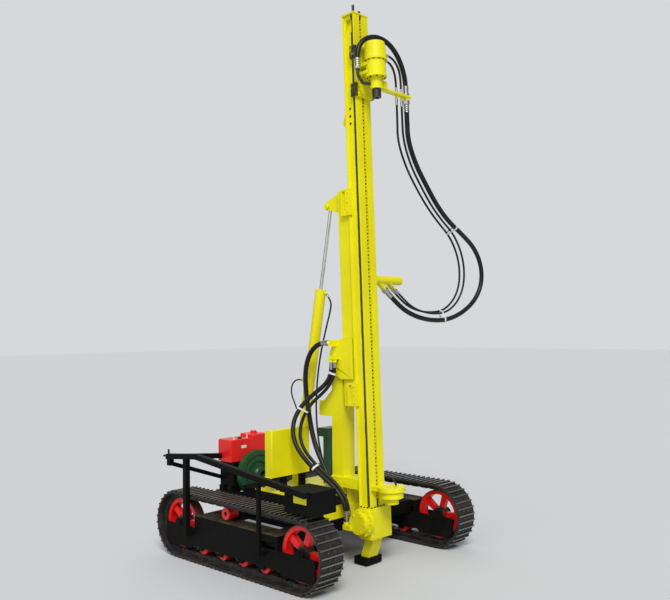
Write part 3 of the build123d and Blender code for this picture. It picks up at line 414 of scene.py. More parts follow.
def smearFinish(name, spec, look):  # enamel mostly covered by dark grease
    smear = Finish(name)
    place = smear.place()
    cover = smear.mask(place, look, "cover")
    tone = smear.mix(cover, spec["tone"], look["tone"])
    height = smear.bump(cover + smear.noise(place, *look["grain"]) * look["grainShare"], *look["bump"])
    return smear.close(tone, look["rough"] - cover * look["coverRough"], height)


chainSet = {"bottom": 560.0, "top": 4790.0, "pitch": 31.75, "depth": 710.5, "roller": 9.5, "rollerHalf": 8.0,
            "rollerSides": 12, "plateHalf": 12.0, "plates": ((8.0, 10.4), (10.4, 12.8)), "plateSteps": 9,
            "plateLong": 1.72, "waist": (0.86, 0.14), "plateRound": 0.40, "plateTip": 0.05,
            "strip": (697.5, 700.0, 15.5), "inside": 8.6, "grain": (70.0, 4.0, 0.6), "gapShade": (0.27, 0.33),
            "gapWander": 0.08, "gapRough": 0.1, "wornRange": (0.50, 0.72), "wornShare": 0.35, "rough": 0.42,
            "bump": (0.15, 0.001), "sharp": 30.0}


# painted chain, with patches of old oil and painted shade in the gaps between its rollers: the height up the mast, in
# pitches from a roller, tells the gaps
def chainFinish(name, spec, oilAndShade, chain):
    link = Finish(name)
    place = link.place()
    depth, side, height = mastParts(link, place)
    turn = (height - chain["bottom"] / perMetre) / (chain["pitch"] / perMetre)
    away = (turn.fraction() - 0.5).abs()
    grain = link.noise(place, *chain["grain"])
    # the gaps between the rollers are darkened as painted shade
    gapShade = link.ramp(away + (grain - 0.5) * chain["gapWander"], *chain["gapShade"]) * (side < chain["inside"] / perMetre)
    worn = link.ramp(grain, *chain["wornRange"]) * chain["wornShare"]
    tone = link.mix(gapShade, link.mix(worn, spec["deep"], oilAndShade), oilAndShade)
    return link.close(tone, chain["rough"] - gapShade * chain["gapRough"], link.bump(grain, *chain["bump"]))


yellow, red, black, green = paintSet.values()
yellowPaint = paintFinish("yellowPaint", yellow)
# the feed beam has a dark streak in its side groove: grease and painted shadow of the front flange
beamPaint = paintFinish("beamPaint", yellow, groove=(0.0805, 0.676, 0.7135))
# the deck's skirts below the plate and the chassis rails behind the front cross member are black as painted shade
deckPaintAndPaintedShade = paintFinish("deckPaintAndPaintedShade", yellow, split=(2, 0.586, black["tone"]))
railPaintAndPaintedShade = paintFinish("railPaintAndPaintedShade", yellow, split=(0, 0.300, black["tone"]))
framePaint = paintFinish("framePaint", black, shelf=0.405)
redPaint = paintFinish("redPaint", red)
blackPaint = paintFinish("blackPaint", black)
greenPaint = paintFinish("greenPaint", green)
wheelRed = wheelFinish("wheelRed", red, trackSet, wheelLook)
trackSteel = trackFinish("trackSteel", trackSet)
chainPaint = chainFinish("chainPaint", yellow, greaseShadeTone, chainSet)
slipperPaint = smearFinish("slipperPaint", yellow, smearLook)
springSteel, paintedShadeStrip, plated, darkSteel, chromeRod = (bareFinish(name, spec) for name, spec in bareSet.items())
hoseRubber = hoseFinish("hoseRubber", hoseLook)
whiteTie = tieFinish("whiteTie", tieLook)
print("finishes made")

finishOf = {
    yellowPaint: ["mast_post", "oil_tank", "mast_column", "hinge_bracket", "beam_guides", "rod_ears",
                  "beam_cap", "beam_lug", "gearbox", "feed_motor", "foot_leg", "centralizer", "carriage",
                  "rotary_head", "hose_bracket", "lift_barrel", "hose_arm", "hose_plate", "lift_clevis",
                  "box_plate"],
    beamPaint: ["feed_beam"],
    redPaint: ["engine_hood", "track_rollers"],
    wheelRed: ["track_wheels"],
    deckPaintAndPaintedShade: ["deck"],
    railPaintAndPaintedShade: ["chassis_frame"],
    framePaint: ["track_frame_right", "track_frame_left"],
    blackPaint: ["side_box", "tank_stand", "engine_bed", "foot_pad", "guard", "engine_block", "rear_deck",
                 "cross_beams"],
    greenPaint: ["flywheel", "valve_stand"],
    trackSteel: ["track_right", "track_left"],
    chainPaint: ["feed_chain"],
    springSteel: ["tension_springs"],
    slipperPaint: ["guide_slippers"],
    plated: ["deck_fittings"],
    darkSteel: ["air_elbow", "chuck"],
    chromeRod: ["lift_rod"],
}
for finish, names in finishOf.items():
    for name in names:
        nodes[name].data.materials.clear()
        nodes[name].data.materials.append(finish)


# mesh helpers
def gridFaces(rows, columns, looped=False):  # quads between closed rows; looped joins the last row to the first
    r = np.arange(rows if looped else rows - 1)[:, None]
    c = np.arange(columns)
    after, below = (c + 1) % columns, (r + 1) % rows
    quads = np.stack([r * columns + c, r * columns + after, below * columns + after, below * columns + c], -1)
    return quads.reshape(-1, 4)


def cappedFaces(rows, columns):  # a closed grid with both ends filled
    end = np.arange(columns)
    return gridFaces(rows, columns).tolist() + [end[::-1].tolist(), (end + (rows - 1) * columns).tolist()]


def repeated(single, count):  # the faces of one shape for each of its copies, whose points follow one another
    size = max(map(max, single)) + 1
    return [[i + copy * size for i in face] for copy in range(count) for face in single]


def makePiece(name, points, faces, finish, body, slot=None, uv=None, sharp=35.0):
    mesh = bpy.data.meshes.new(name)
    mesh.from_pydata(np.asarray(points, float).reshape(-1, 3).tolist(), [], [list(f) for f in faces])
    work = bmesh.new()
    work.from_mesh(mesh)
    bmesh.ops.recalc_face_normals(work, faces=work.faces)
    work.to_mesh(mesh)
    work.free()
    mesh.polygons.foreach_set("use_smooth", np.ones(len(mesh.polygons), bool))
    mesh.set_sharp_from_angle(angle=math.radians(sharp))
    if uv is not None:
        layer = mesh.uv_layers.new(name="UVMap")
        corner = np.zeros(len(mesh.loops), int)
        mesh.loops.foreach_get("vertex_index", corner)
        layer.data.foreach_set("uv", np.asarray(uv, float)[corner].ravel())
    mesh.materials.append(finish)
    made = bpy.data.objects.new(name, mesh)
    scene.collection.objects.link(made)
    if body:
        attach(made, body)
    return made


def unit(vectors):
    return vectors / np.linalg.norm(vectors, axis=-1, keepdims=True)


def basis(direction):  # unit vectors along a direction and square to it, for one or many
    d = unit(np.asarray(direction, float))
    side = unit(np.cross(d, np.where(np.abs(d[..., 2:]) < 0.9, [0.0, 0.0, 1.0], [1.0, 0.0, 0.0])))
    return d, side, np.cross(d, side)


def circle(a, b, count):  # points of unit circles: the angle's cosine along a and its sine along b
    angle = np.arange(count)[:, None] * 2.0 * math.pi / count
    return np.cos(angle) * a[..., None, :] + np.sin(angle) * b[..., None, :]


def turned(profile, base, direction, count=24):  # a (radius, along) profile turned round an axis through base
    d, a, b = basis(direction)
    radius, along = np.asarray(profile, float).T[:, :, None, None]
    points = np.asarray(base) + along * d + radius * circle(a, b, count)
    return points.reshape(-1, 3), cappedFaces(len(profile), count)


def joined(shapes):  # several (points, faces) as one
    points, faces, start = [], [], 0
    for p, f in shapes:
        points.append(np.asarray(p).reshape(-1, 3))
        faces += [[i + start for i in face] for face in f]
        start += len(points[-1])
    return np.concatenate(points), faces


headSet = {"flank": 0.75, "top": 0.82, "sharp": 25.0}  # the height below the chamfer and the width on top, as shares


def hexHeads(centres, directions, across, high):  # chamfered six-sided heads, one standing on its face at each centre
    centres = np.asarray(centres, float).reshape(-1, 3)
    d, a, b = basis(np.broadcast_to(np.asarray(directions, float), centres.shape))
    ring = circle(a, b, 6)
    rings = [(across, 0.0), (across, headSet["flank"] * high), (headSet["top"] * across, high)]
    points = np.stack([centres[:, None] + r * ring + h * d[:, None] for r, h in rings], 1)
    return points.reshape(-1, 3), repeated(cappedFaces(len(rings), 6), len(centres))


def crossed(*columns):  # every mix of the given coordinates
    return np.array(np.meshgrid(*columns, indexing="ij")).reshape(3, -1).T


boxFaces = [[0, 1, 3, 2], [4, 6, 7, 5], [0, 4, 5, 1], [2, 3, 7, 6], [0, 2, 6, 4], [1, 5, 7, 3]]  # on crossed pairs


def atSide(flat, y):  # (x, z) pairs as points at one y
    return np.stack([flat[..., 0], np.full(flat.shape[:-1], y), flat[..., 1]], -1)


def slabs(flat, sides, place):  # outlines of (x, z) pairs, each made a slab between two sides
    points = place(np.stack([atSide(flat, y) for y in sides], 1))
    return points.reshape(-1, 3), repeated(cappedFaces(2, flat.shape[1]), len(flat))


# hoses: a round tube carried along a NURBS line; bodies are those at the route's first and last point, width in
# metres, route in millimetres
lineSet = {"steps": 10, "order": 3, "sides": 16, "sharp": 60.0}
sideOf = {"mast": (1, 0, 0), "machine": (0, 1, 0)}  # the fixed side of a tube's circles in each frame
hoseSet = {
    "air_jumper": {"frame": "mast", "width": 0.045, "bodies": ("carriage", "carriage"), "route": [
        (799, -140, 4330), (799, -140, 4423), (802, -119, 4517), (818, -60, 4589), (842, 27, 4628),
        (864, 122, 4628), (880, 218, 4591), (888, 306, 4518), (888, 377, 4415), (888, 415, 4293),
        (888, 415, 4175)]},
    "motor_jumper_a": {"frame": "mast", "width": 0.020, "bodies": ("carriage", "carriage"), "route": [
        (888, 140, 4475), (888, 215, 4475), (888, 288, 4435), (888, 334, 4362), (888, 345, 4265),
        (888, 345, 4175)]},
    "motor_jumper_b": {"frame": "mast", "width": 0.020, "bodies": ("carriage", "carriage"), "route": [
        (888, 125, 4420), (888, 169, 4420), (888, 210, 4403), (888, 241, 4372), (888, 262, 4327), (888, 275, 4252),
        (888, 275, 4175)]},
    "air_loop": {"frame": "mast", "width": 0.045, "bodies": ("carriage", "feed_beam"), "route": [
        (888, 415, 4080), (888, 415, 3920), (868, 445, 3755), (853, 560, 3560), (842, 720, 3388), (831, 890, 3218),
        (820, 1085, 3078), (808, 1320, 2973), (796, 1560, 2848), (782, 1700, 2668), (768, 1705, 2470),
        (752, 1580, 2300), (734, 1370, 2180), (716, 1150, 2116), (699, 930, 2111), (676, 745, 2140),
        (642, 600, 2200), (625, 473, 2286), (625, 345, 2382)]},
    "motor_loop_a": {"frame": "mast", "width": 0.020, "bodies": ("carriage", "feed_beam"), "route": [
        (888, 345, 4080), (888, 345, 3920), (852, 395, 3755), (824, 520, 3552), (805, 690, 3375), (792, 865, 3205),
        (779, 1060, 3070), (770, 1235, 2972), (759, 1370, 2816), (747, 1440, 2637), (734, 1430, 2448),
        (719, 1330, 2290), (704, 1170, 2195), (690, 1000, 2175), (672, 845, 2190), (654, 710, 2228),
        (644, 590, 2297), (644, 470, 2387)]},
    "motor_loop_b": {"frame": "mast", "width": 0.020, "bodies": ("carriage", "feed_beam"), "route": [
        (888, 275, 4080), (888, 275, 3920), (826, 345, 3745), (790, 490, 3540), (768, 665, 3362), (755, 845, 3196),
        (742, 1045, 3056), (732, 1215, 2956), (722, 1345, 2806), (710, 1412, 2634), (698, 1402, 2452),
        (684, 1306, 2304), (668, 1155, 2212), (652, 1000, 2192), (632, 850, 2200), (614, 712, 2234),
        (606, 590, 2297), (606, 470, 2387)]},
    "supply_hose": {"frame": "machine", "width": 0.045, "bodies": ("mast", "chassis"), "route": [
        (322, -140, 1925), (242, -140, 1925), (166, -140, 1899), (101, -139, 1846), (52, -138, 1768),
        (22, -137, 1662), (19, -135, 1540), (34, -134, 1400), (68, -135, 1240), (105, -136, 1090), (165, -140, 955),
        (245, -150, 850), (312, -160, 760), (330, -165, 700), (330, -165, 640)]},
    "feed_hose_a": {"frame": "machine", "width": 0.040, "bodies": ("mast", "feed_beam"), "route": [
        (365, -145, 1755), (365, -145, 1690), (348, -152, 1620), (307, -170, 1554), (238, -200, 1495),
        (138, -295, 1380), (103, -385, 1220), (160, -420, 1050), (265, -385, 905), (372, -310, 785),
        (470, -250, 690), (556, -226, 590), (598, -224, 490), (598, -224, 395)]},
    "feed_hose_b": {"frame": "machine", "width": 0.030, "bodies": ("mast", "feed_beam"), "route": [
        (405, -145, 1755), (405, -145, 1690), (389, -150, 1618), (351, -162, 1546), (284, -184, 1474),
        (180, -235, 1375), (135, -290, 1250), (140, -335, 1120), (195, -345, 1000), (275, -308, 890),
        (372, -262, 795), (470, -212, 705), (556, -190, 600), (598, -187, 490), (598, -187, 395)]},
    "lift_hose": {"frame": "machine", "width": 0.016, "bodies": ("lift_barrel", "chassis"), "route": [
        (178, 0, 2361), (233, 0, 2306), (236, -20, 2215), (218, -46, 2095), (196, -68, 1965), (170, -83, 1830),
        (142, -90, 1670), (120, -92, 1490), (112, -93, 1300), (122, -90, 1120), (150, -88, 965), (190, -89, 850),
        (230, -93, 770), (245, -95, 715), (245, -95, 660)]},
}


def smoothLine(name, route):  # points along a NURBS spline that has the route as its control points
    curve = bpy.data.curves.new(name + "_line", "CURVE")
    curve.dimensions = "3D"
    curve.resolution_u = lineSet["steps"]
    spline = curve.splines.new("NURBS")
    spline.points.add(len(route) - 1)
    spline.points.foreach_set("co", np.c_[route, np.ones(len(route))].ravel())
    spline.order_u = lineSet["order"]
    spline.use_endpoint_u = True
    holder = bpy.data.objects.new(name + "_line", curve)
    scene.collection.objects.link(holder)
    bpy.context.view_layer.update()
    line = bpy.data.meshes.new_from_object(holder)
    points = np.zeros(len(line.vertices) * 3)
    line.vertices.foreach_get("co", points)
    bpy.data.objects.remove(holder)
    bpy.data.meshes.remove(line)
    return points.reshape(-1, 3)


def lengthsAlong(line):
    return np.r_[0.0, np.cumsum(np.linalg.norm(np.diff(line, axis=0), axis=1))]


def tube(path, radius, side):  # circle carried along the path; its frame is the tangent and a fixed side
    count = lineSet["sides"]
    tangent = unit(np.gradient(path, axis=0))
    a = unit(np.cross(tangent, np.asarray(side, float)))
    points = path[:, None] + radius * circle(a, np.cross(tangent, a), count)
    along = lengthsAlong(path)
    uv = np.stack(np.broadcast_arrays(np.arange(count) / count, along[:, None]), -1)
    return points.reshape(-1, 3), cappedFaces(len(path), count), uv.reshape(-1, 2), along[-1]


hoseLines = {}
for name, spec in hoseSet.items():
    line = smoothLine(name, placed(spec["frame"], spec["route"]))
    hoseLines[name] = line
    points, faces, uv, length = tube(line, spec["width"] / 2.0, sideOf[spec["frame"]])
    first, second = spec["bodies"]
    hose = makePiece(name + "_hose", points, faces, hoseRubber, None, "hose_rubber", uv, lineSet["sharp"])
    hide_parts(name)
    if first == second:
        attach(hose, first)
    else:
        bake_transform(hose)

# pressed sleeves and six-sided nuts at the hose ends: long is (sleeve, nut) at the start and at the end, millimetres;
# the widths are shares of the hose's own
endSet = {"grooves": 4, "grooveSteps": 4, "groove": 0.955, "back": 0.98, "mouth": 1.005, "sleeveWide": 1.14,
          "nutWide": 1.40, "slimWide": 1.04, "slim": ("feed_hose_a", "feed_hose_b"), "sides": 20, "long": {
              "air_jumper": ((74, 24), (74, 16)), "motor_jumper_a": ((33, 30), (33, 16)),
              "motor_jumper_b": ((33, 28), (33, 16)), "air_loop": ((74, 40), (74, 50)),
              "motor_loop_a": ((33, 35), (33, 35)), "motor_loop_b": ((33, 35), (33, 35)),
              "supply_hose": ((74, 22), (74, 36)), "feed_hose_a": ((66, 24), (92, 22)),
              "feed_hose_b": ((50, 24), (92, 22)), "lift_hose": ((27, 20), (27, 30))}}


def sleeveProfile(r, wide, long, spec):  # steps along the sleeve, half of each groove's steps pressed in
    steps = np.linspace(0.0, long, spec["grooves"] * spec["grooveSteps"] + 1)
    pressed = np.arange(len(steps)) % spec["grooveSteps"] >= spec["grooveSteps"] // 2
    outside = np.c_[r * wide * np.where(pressed, spec["groove"], 1.0), steps]
    return np.r_[[[r * spec["back"], steps[0]]], outside, [[r * spec["mouth"], steps[-1]]]]


for name, ends in endSet["long"].items():
    line, r = hoseLines[name], hoseSet[name]["width"] / 2.0
    sleeveWide, nutWide = (endSet["slimWide" if name in endSet["slim"] else key] for key in ("sleeveWide", "nutWide"))
    for end, label, body, (sleeve, nut) in zip((0, -1), ("out", "in"), hoseSet[name]["bodies"], ends):
        way = line[1] - line[0] if end == 0 else line[-2] - line[-1]
        profile = sleeveProfile(r, sleeveWide, sleeve / perMetre, endSet)
        sleeveShape = turned(profile, line[end], way, endSet["sides"])
        makePiece(f"{name}_sleeve_{label}", *sleeveShape, plated, body, "chrome")
        nutShape = hexHeads(line[end], -way, r * nutWide, nut / perMetre)
        makePiece(f"{name}_nut_{label}", *nutShape, plated, body, "chrome", sharp=headSet["sharp"])
print("hoses made:", len(hoseSet))

toRight, toLeft, forward, upward, downward = (0, -1, 0), (0, 1, 0), (1, 0, 0), (0, 0, 1), (0, 0, -1)


def ringPlaces(centre, way, radius, count):
    d, a, b = basis(way)
    return np.asarray(centre, float) + radius * circle(a, b, count)


# heads of bolts: body, the way that they face, half width and height of a head, and their places, in machine
# millimetres on the chassis and in upright mast millimetres on the others
plateRows, guideRows = (4116, 4184, 4454, 4522), (1395, 1468, 1540, 3085, 3170, 3255)
boltSet = {
    "motorBolts": ("feed_beam", toRight, 9, 8, ringPlaces((681, -170, 385), toRight, 105, 10)),
    "motorCapBolts": ("feed_beam", toRight, 8, 7, ringPlaces((681, -225, 385), toRight, 74, 6)),
    "gearboxBolts": ("feed_beam", forward, 10, 8, crossed((756,), (-108, 120), (262, 367, 472))),
    "centralBolts": ("feed_beam", upward, 9, 8, ringPlaces((888, 0, 684), upward, 104, 8)),
    "drumBolts": ("feed_beam", downward, 8, 7, ringPlaces((888, 0, 592), downward, 82, 8)),
    "footBoltsFront": ("feed_beam", upward, 9, 9, crossed((744,), (-100, -60, -20, 20, 60, 100), (500,))),
    "footBoltsSide": ("feed_beam", upward, 9, 9, crossed((632, 668, 704), (-112, 118), (500,))),
    "armBolts": ("feed_beam", toLeft, 9, 8, crossed((604, 652), (107,), (2437, 2531))),
    "lugBolts": ("feed_beam", toRight, 11, 7, crossed((640,), (-78,), (3868, 3935, 4002))),
    "collarBolts": ("carriage", downward, 6, 6, ringPlaces((888, 0, 4387), downward, 94.5, 12)),
    "flangeBolts": ("carriage", downward, 9, 8, ringPlaces((888, 0, 4235), downward, 76, 8)),
    "plateBolts": ("carriage", forward, 9, 8, crossed((755.5,), (-78, 78), plateRows)),
    "slipperBoltsRight": ("carriage", toRight, 9, 8, crossed((728,), (-117.5,), plateRows)),
    "slipperBoltsLeft": ("carriage", toLeft, 9, 8, crossed((728,), (117.5,), plateRows)),
    "guideBoltsRight": ("mast", toRight, 9, 8, crossed((598,), (-111.5,), guideRows)),
    "guideBoltsLeft": ("mast", toLeft, 9, 8, crossed((598,), (111.5,), guideRows)),
    "baseBoltsRight": ("chassis", toRight, 9, 7, crossed((420, 480), (-100,), (692,))),
    "baseBoltsLeft": ("chassis", toLeft, 9, 7, crossed((420, 480), (100,), (692,))),
    "deckBolts": ("chassis", upward, 9, 7, crossed((-270, -90, 90, 270, 415), (-400, 400), (600,))),
}
# the foot and collar bolt heads are dark steel partly as painted shade: they stand for the dark line at the beam's
# foot and the dark band under the head's collar
darkBolts = ("collarBolts", "flangeBolts", "lugBolts", "footBoltsFront", "footBoltsSide", "deckBolts",
             "slipperBoltsRight", "slipperBoltsLeft")
for name, (on, way, wide, high, places) in boltSet.items():
    heads = hexHeads(placed(frameOf(on), places), facing(frameOf(on), way), wide / perMetre, high / perMetre)
    look, slot = (darkSteel, "chrome") if name in darkBolts else (yellowPaint, "yellow_paint")
    makePiece(name, *heads, look, on, slot, sharp=headSet["sharp"])
print("bolts made:", len(boltSet))

# tracks: bolts on the shoes, side plates and pins of the links, millimetres
linkSet = {"count": 42, "base": 1570.0, "axle": 300.0, "gauge": 1780.0, "plate": 286.0, "linkRadius": 249.0,
           "linkHalf": 17.0, "endSteps": 7, "linkSides": (55.0, 58.5, 62.0), "pin": 9.0, "pinEnd": 67.0,
           "boltAlong": (-37.0, 21.0), "boltSide": (-32.0, 32.0), "boltWide": 9.5, "boltHigh": 7.0}


def loopLength(radius, spec):
    return 2.0 * spec["base"] + 2.0 * math.pi * radius


# places and outward directions at shares of the loop: top run, front arc, bottom run, rear arc
def onLoop(radius, share, spec):
    half, arc = spec["base"] / 2.0, math.pi * radius
    along = (np.asarray(share) % 1.0) * loopLength(radius, spec)
    edges = np.cumsum([spec["base"], arc, spec["base"]])
    front = math.pi / 2 - (along - edges[0]) / radius
    rear = -math.pi / 2 - (along - edges[2]) / radius
    stretches = [along < edge for edge in edges]
    angle = np.select(stretches, [math.pi / 2, front, -math.pi / 2], rear)
    middle = np.select(stretches, [along - half, half, half - (along - edges[1])], -half)
    out = np.c_[np.cos(angle), np.sin(angle)]
    return np.c_[middle, np.full_like(middle, spec["axle"])] + radius * out, out


def shoeBolts(y, shares, spec):
    wide, high = spec["boltWide"] / perMetre, spec["boltHigh"] / perMetre
    shapes = []
    for along in spec["boltAlong"]:
        places, out = onLoop(spec["plate"], shares + along / loopLength(spec["plate"], spec), spec)
        shapes += [hexHeads(onMachine(atSide(places, y + side)), atSide(out, 0.0), wide, high)
                   for side in spec["boltSide"]]
    return joined(shapes)


# each side plate is a round-ended outline in the plane of the loop, thick across it; every second one lies outside
def linkPlates(y, shares, spec):
    places, out = onLoop(spec["linkRadius"], shares, spec)
    along = np.c_[out[:, 1], -out[:, 0]]
    pitch = loopLength(spec["linkRadius"], spec) / spec["count"]
    turn = np.linspace(-math.pi / 2, math.pi / 2, spec["endSteps"])
    end = np.c_[np.cos(turn), np.sin(turn)] * spec["linkHalf"] + [pitch / 2, 0.0]
    outline = np.r_[end, -end]
    flat = places[:, None] + outline[:, :1] * along[:, None] + outline[:, 1:] * out[:, None]
    near, middle, far = spec["linkSides"]
    pins = onLoop(spec["linkRadius"], shares + 0.5 / spec["count"], spec)[0]
    shapes = []
    for side in (-1.0, 1.0):
        shapes.append(slabs(flat[0::2], (y + side * near, y + side * middle), onMachine))
        shapes.append(slabs(flat[1::2], (y + side * middle, y + side * far), onMachine))
        pinHeads = onMachine(atSide(pins, y + side * far))
        shapes.append(hexHeads(pinHeads, (0.0, side, 0.0), spec["pin"] / perMetre, (spec["pinEnd"] - far) / perMetre))
    return joined(shapes)


linkShares = (np.arange(linkSet["count"]) + 0.5) / linkSet["count"]
for name, side in (("right", -1.0), ("left", 1.0)):
    middle = side * linkSet["gauge"] / 2.0
    boltShape, linkShape = shoeBolts(middle, linkShares, linkSet), linkPlates(middle, linkShares, linkSet)
    makePiece(name + "_bolts", *boltShape, darkSteel, "chassis", "track_steel", sharp=headSet["sharp"])
    makePiece(name + "_links", *linkShape, trackSteel, "chassis", "track_steel", sharp=headSet["sharp"])
print("track links made")


# roller chain in the front slot of the feed beam, over a dark strip that paints the shade at the slot's bottom
def feedChain(spec):
    count = int((spec["top"] - spec["bottom"]) / spec["pitch"])
    rise = np.array([0.0, spec["pitch"]])
    places = np.array([spec["depth"], spec["bottom"]]) + (np.arange(count)[:, None] + 0.5) * rise
    rollers = places[:, None] + spec["roller"] * circle(*np.eye(2), spec["rollerSides"])
    shapes = [slabs(rollers, (-spec["rollerHalf"], spec["rollerHalf"]), onMast)]
    # a plate's half depth has a waist, by the cosine of one turn between its pins, and closes as a circle past them
    turn = np.linspace(-0.5, 0.5, spec["plateSteps"]) * spec["plateLong"]
    mean, swing = spec["waist"]
    half = spec["plateHalf"] * (mean - swing * np.cos(2.0 * math.pi * np.clip(turn, -0.5, 0.5)))
    past = np.maximum(np.abs(turn) - 0.5, 0.0) / spec["plateRound"]
    half = half * np.sqrt(np.clip(1.0 - past ** 2, spec["plateTip"], 1.0))
    outline = np.r_[np.c_[half, turn * spec["pitch"]], np.c_[-half, turn * spec["pitch"]][::-1]]
    for start, (low, high) in enumerate(spec["plates"]):
        flat = (places + rise / 2.0)[start::2, None] + outline
        shapes += [slabs(flat, (side * low, side * high), onMast) for side in (-1.0, 1.0)]
    chain = makePiece("feedChain", *joined(shapes), chainPaint, "feed_beam", "chrome", sharp=spec["sharp"])
    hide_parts("feed_chain")
    # the dark strip at the slot's bottom stands for the shade seen through the chain's gaps
    back, front, wide = spec["strip"]
    corners = onMast(crossed((back, front), (-wide, wide), (spec["bottom"], spec["top"])))
    makePiece("chainShadeStrip", corners, boxFaces, paintedShadeStrip, "feed_beam", "dark_paint")


feedChain(chainSet)
print("feed chain made")

# white nylon ties: each place gives the hoses in the tie and the share of their lines where it sits
tieSet = {"thick": 0.004, "band": 0.016, "sides": 48, "sharp": 50.0, "probe": 0.01, "places": [
    {"feed_hose_a": 0.06, "feed_hose_b": 0.06}, {"feed_hose_b": 0.331, "feed_hose_a": 0.313},
    {"feed_hose_b": 0.652, "feed_hose_a": 0.671}, {"air_loop": 0.373, "motor_loop_a": 0.455, "motor_loop_b": 0.471},
    {"air_loop": 0.782, "motor_loop_a": 0.789, "motor_loop_b": 0.782}]}


def alongLine(line, share, probe):  # point at a share of a line's length, and the way to the one a probe further
    far = lengthsAlong(line)
    ends = share * far[-1] + np.array([0.0, probe])
    near, ahead = np.stack([np.interp(ends, far, column) for column in line.T], -1)
    return near, ahead - near


# the band follows the hull of the hoses' circles: at each angle its point is on the circle that reaches furthest
def tieBand(centres, radii, way, spec):
    d, a, b = basis(way)
    origin = centres.mean(axis=0)
    flat = np.stack([(centres - origin) @ a, (centres - origin) @ b], -1)
    u = circle(*np.eye(2), spec["sides"])
    pick = (flat @ u.T + radii[:, None]).argmax(axis=0)
    outline = flat[pick] + radii[pick, None] * u
    corners = np.array([(0.0, -0.5), (1.0, -0.5), (1.0, 0.5), (0.0, 0.5)]) * [spec["thick"], spec["band"]]
    ring = outline[:, None] + corners[:, :1] * u[:, None]
    points = origin + ring[..., :1] * a + ring[..., 1:] * b + corners[:, 1:] * d
    return points.reshape(-1, 3), gridFaces(spec["sides"], 4, looped=True).tolist()


for number, group in enumerate(tieSet["places"]):
    found = [alongLine(hoseLines[name], share, tieSet["probe"]) for name, share in group.items()]
    lead = next(iter(group))
    radii = np.array([hoseSet[name]["width"] / 2.0 for name in group])
    band = tieBand(np.array([place for place, way in found]), radii, found[0][1], tieSet)
    tie = makePiece(f"tie{number}", *band, whiteTie, None, "chrome", sharp=tieSet["sharp"])
    first, second = hoseSet[lead]["bodies"]
    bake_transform(tie)
print("ties made:", len(tieSet["places"]))

# small turned bits: body, frame, finish, slot, base and way of the axis, then (radius, along) steps, all millimetres
hingeSteps, earSteps, bitSharp = [(36, 0), (36, 5), (33, 7)], [(28, 0), (28, 6), (24, 8)], 30.0
turnedSet = {
    "tensionBoltRight": ("feed_beam", "mast", darkSteel, "chrome", (681, -40, 4862), upward,
                         [(20, 0), (20, 15), (12, 16), (12, 82), (10, 85)]),
    "tensionBoltLeft": ("feed_beam", "mast", darkSteel, "chrome", (681, 40, 4862), upward,
                        [(20, 0), (20, 15), (12, 16), (12, 46), (10, 49)]),
    "hingeCapRight": ("chassis", "machine", yellowPaint, "yellow_paint", (360, -113, 1690), toRight, hingeSteps),
    "hingeCapLeft": ("chassis", "machine", yellowPaint, "yellow_paint", (360, 113, 1690), toLeft, hingeSteps),
    "earCapRight": ("mast", "machine", yellowPaint, "yellow_paint", (240, -56, 3180), toRight, earSteps),
    "earCapLeft": ("mast", "machine", yellowPaint, "yellow_paint", (240, 56, 3180), toLeft, earSteps),
    "centralPin": ("feed_beam", "mast", darkSteel, "chrome", (880, 84, 672), (0, -65, 95),
                   [(8, 0), (8, 112), (6, 115)]),
    "guardPegTall": ("chassis", "machine", blackPaint, "dark_paint", (-846, -1042, 922), upward,
                     [(9, 0), (9, 44), (6, 47)]),
    "guardPegFlat": ("chassis", "machine", blackPaint, "dark_paint", (-880, -1042, 905), (-1, 0, 0),
                     [(9, 0), (9, 40), (6, 43)]),
    "fillerCap": ("chassis", "machine", redPaint, "red_paint", (-757, -105, 1030), upward,
                  [(36, 0), (36, 6), (31, 7), (31, 20), (26, 25)]),
    "hoodCap": ("chassis", "machine", darkSteel, "dark_paint", (-700, -330, 1002), upward,
                [(19, 0), (19, 14), (14, 18)]),
    "floatPinA": ("chassis", "machine", whiteTie, "chrome", (-690, -409, 1002), upward,
                  [(9, 0), (9, 6), (5, 7), (5, 34), (7, 35), (7, 42)]),
    "floatPinB": ("chassis", "machine", whiteTie, "chrome", (-690, -248, 1002), upward,
                  [(9, 0), (9, 6), (5, 7), (5, 30), (7, 31), (7, 38)]),
}
for name, (on, inFrame, look, slot, base, way, steps) in turnedSet.items():
    bit = turned(np.array(steps) / perMetre, placed(inFrame, base), facing(inFrame, way))
    makePiece(name, *bit, look, on, slot, sharp=bitSharp)
print("turned bits made:", len(turnedSet))

# thin black pipe curling down from the port block of the lift cylinder
pipeSet = {"radius": 0.007, "route": [
    (-150, 0, 1566), (-190, 0, 1572), (-250, 0, 1566), (-298, 0, 1530), (-316, 0, 1478), (-312, 0, 1425),
    (-290, 0, 1375), (-262, 0, 1330), (-246, 0, 1290)]}
pipeLine = smoothLine("curlPipe", onMachine(pipeSet["route"]))
points, faces, uv, length = tube(pipeLine, pipeSet["radius"], sideOf["machine"])
makePiece("curlPipe", points, faces, hoseRubber, "lift_barrel", "dark_paint", uv, lineSet["sharp"])

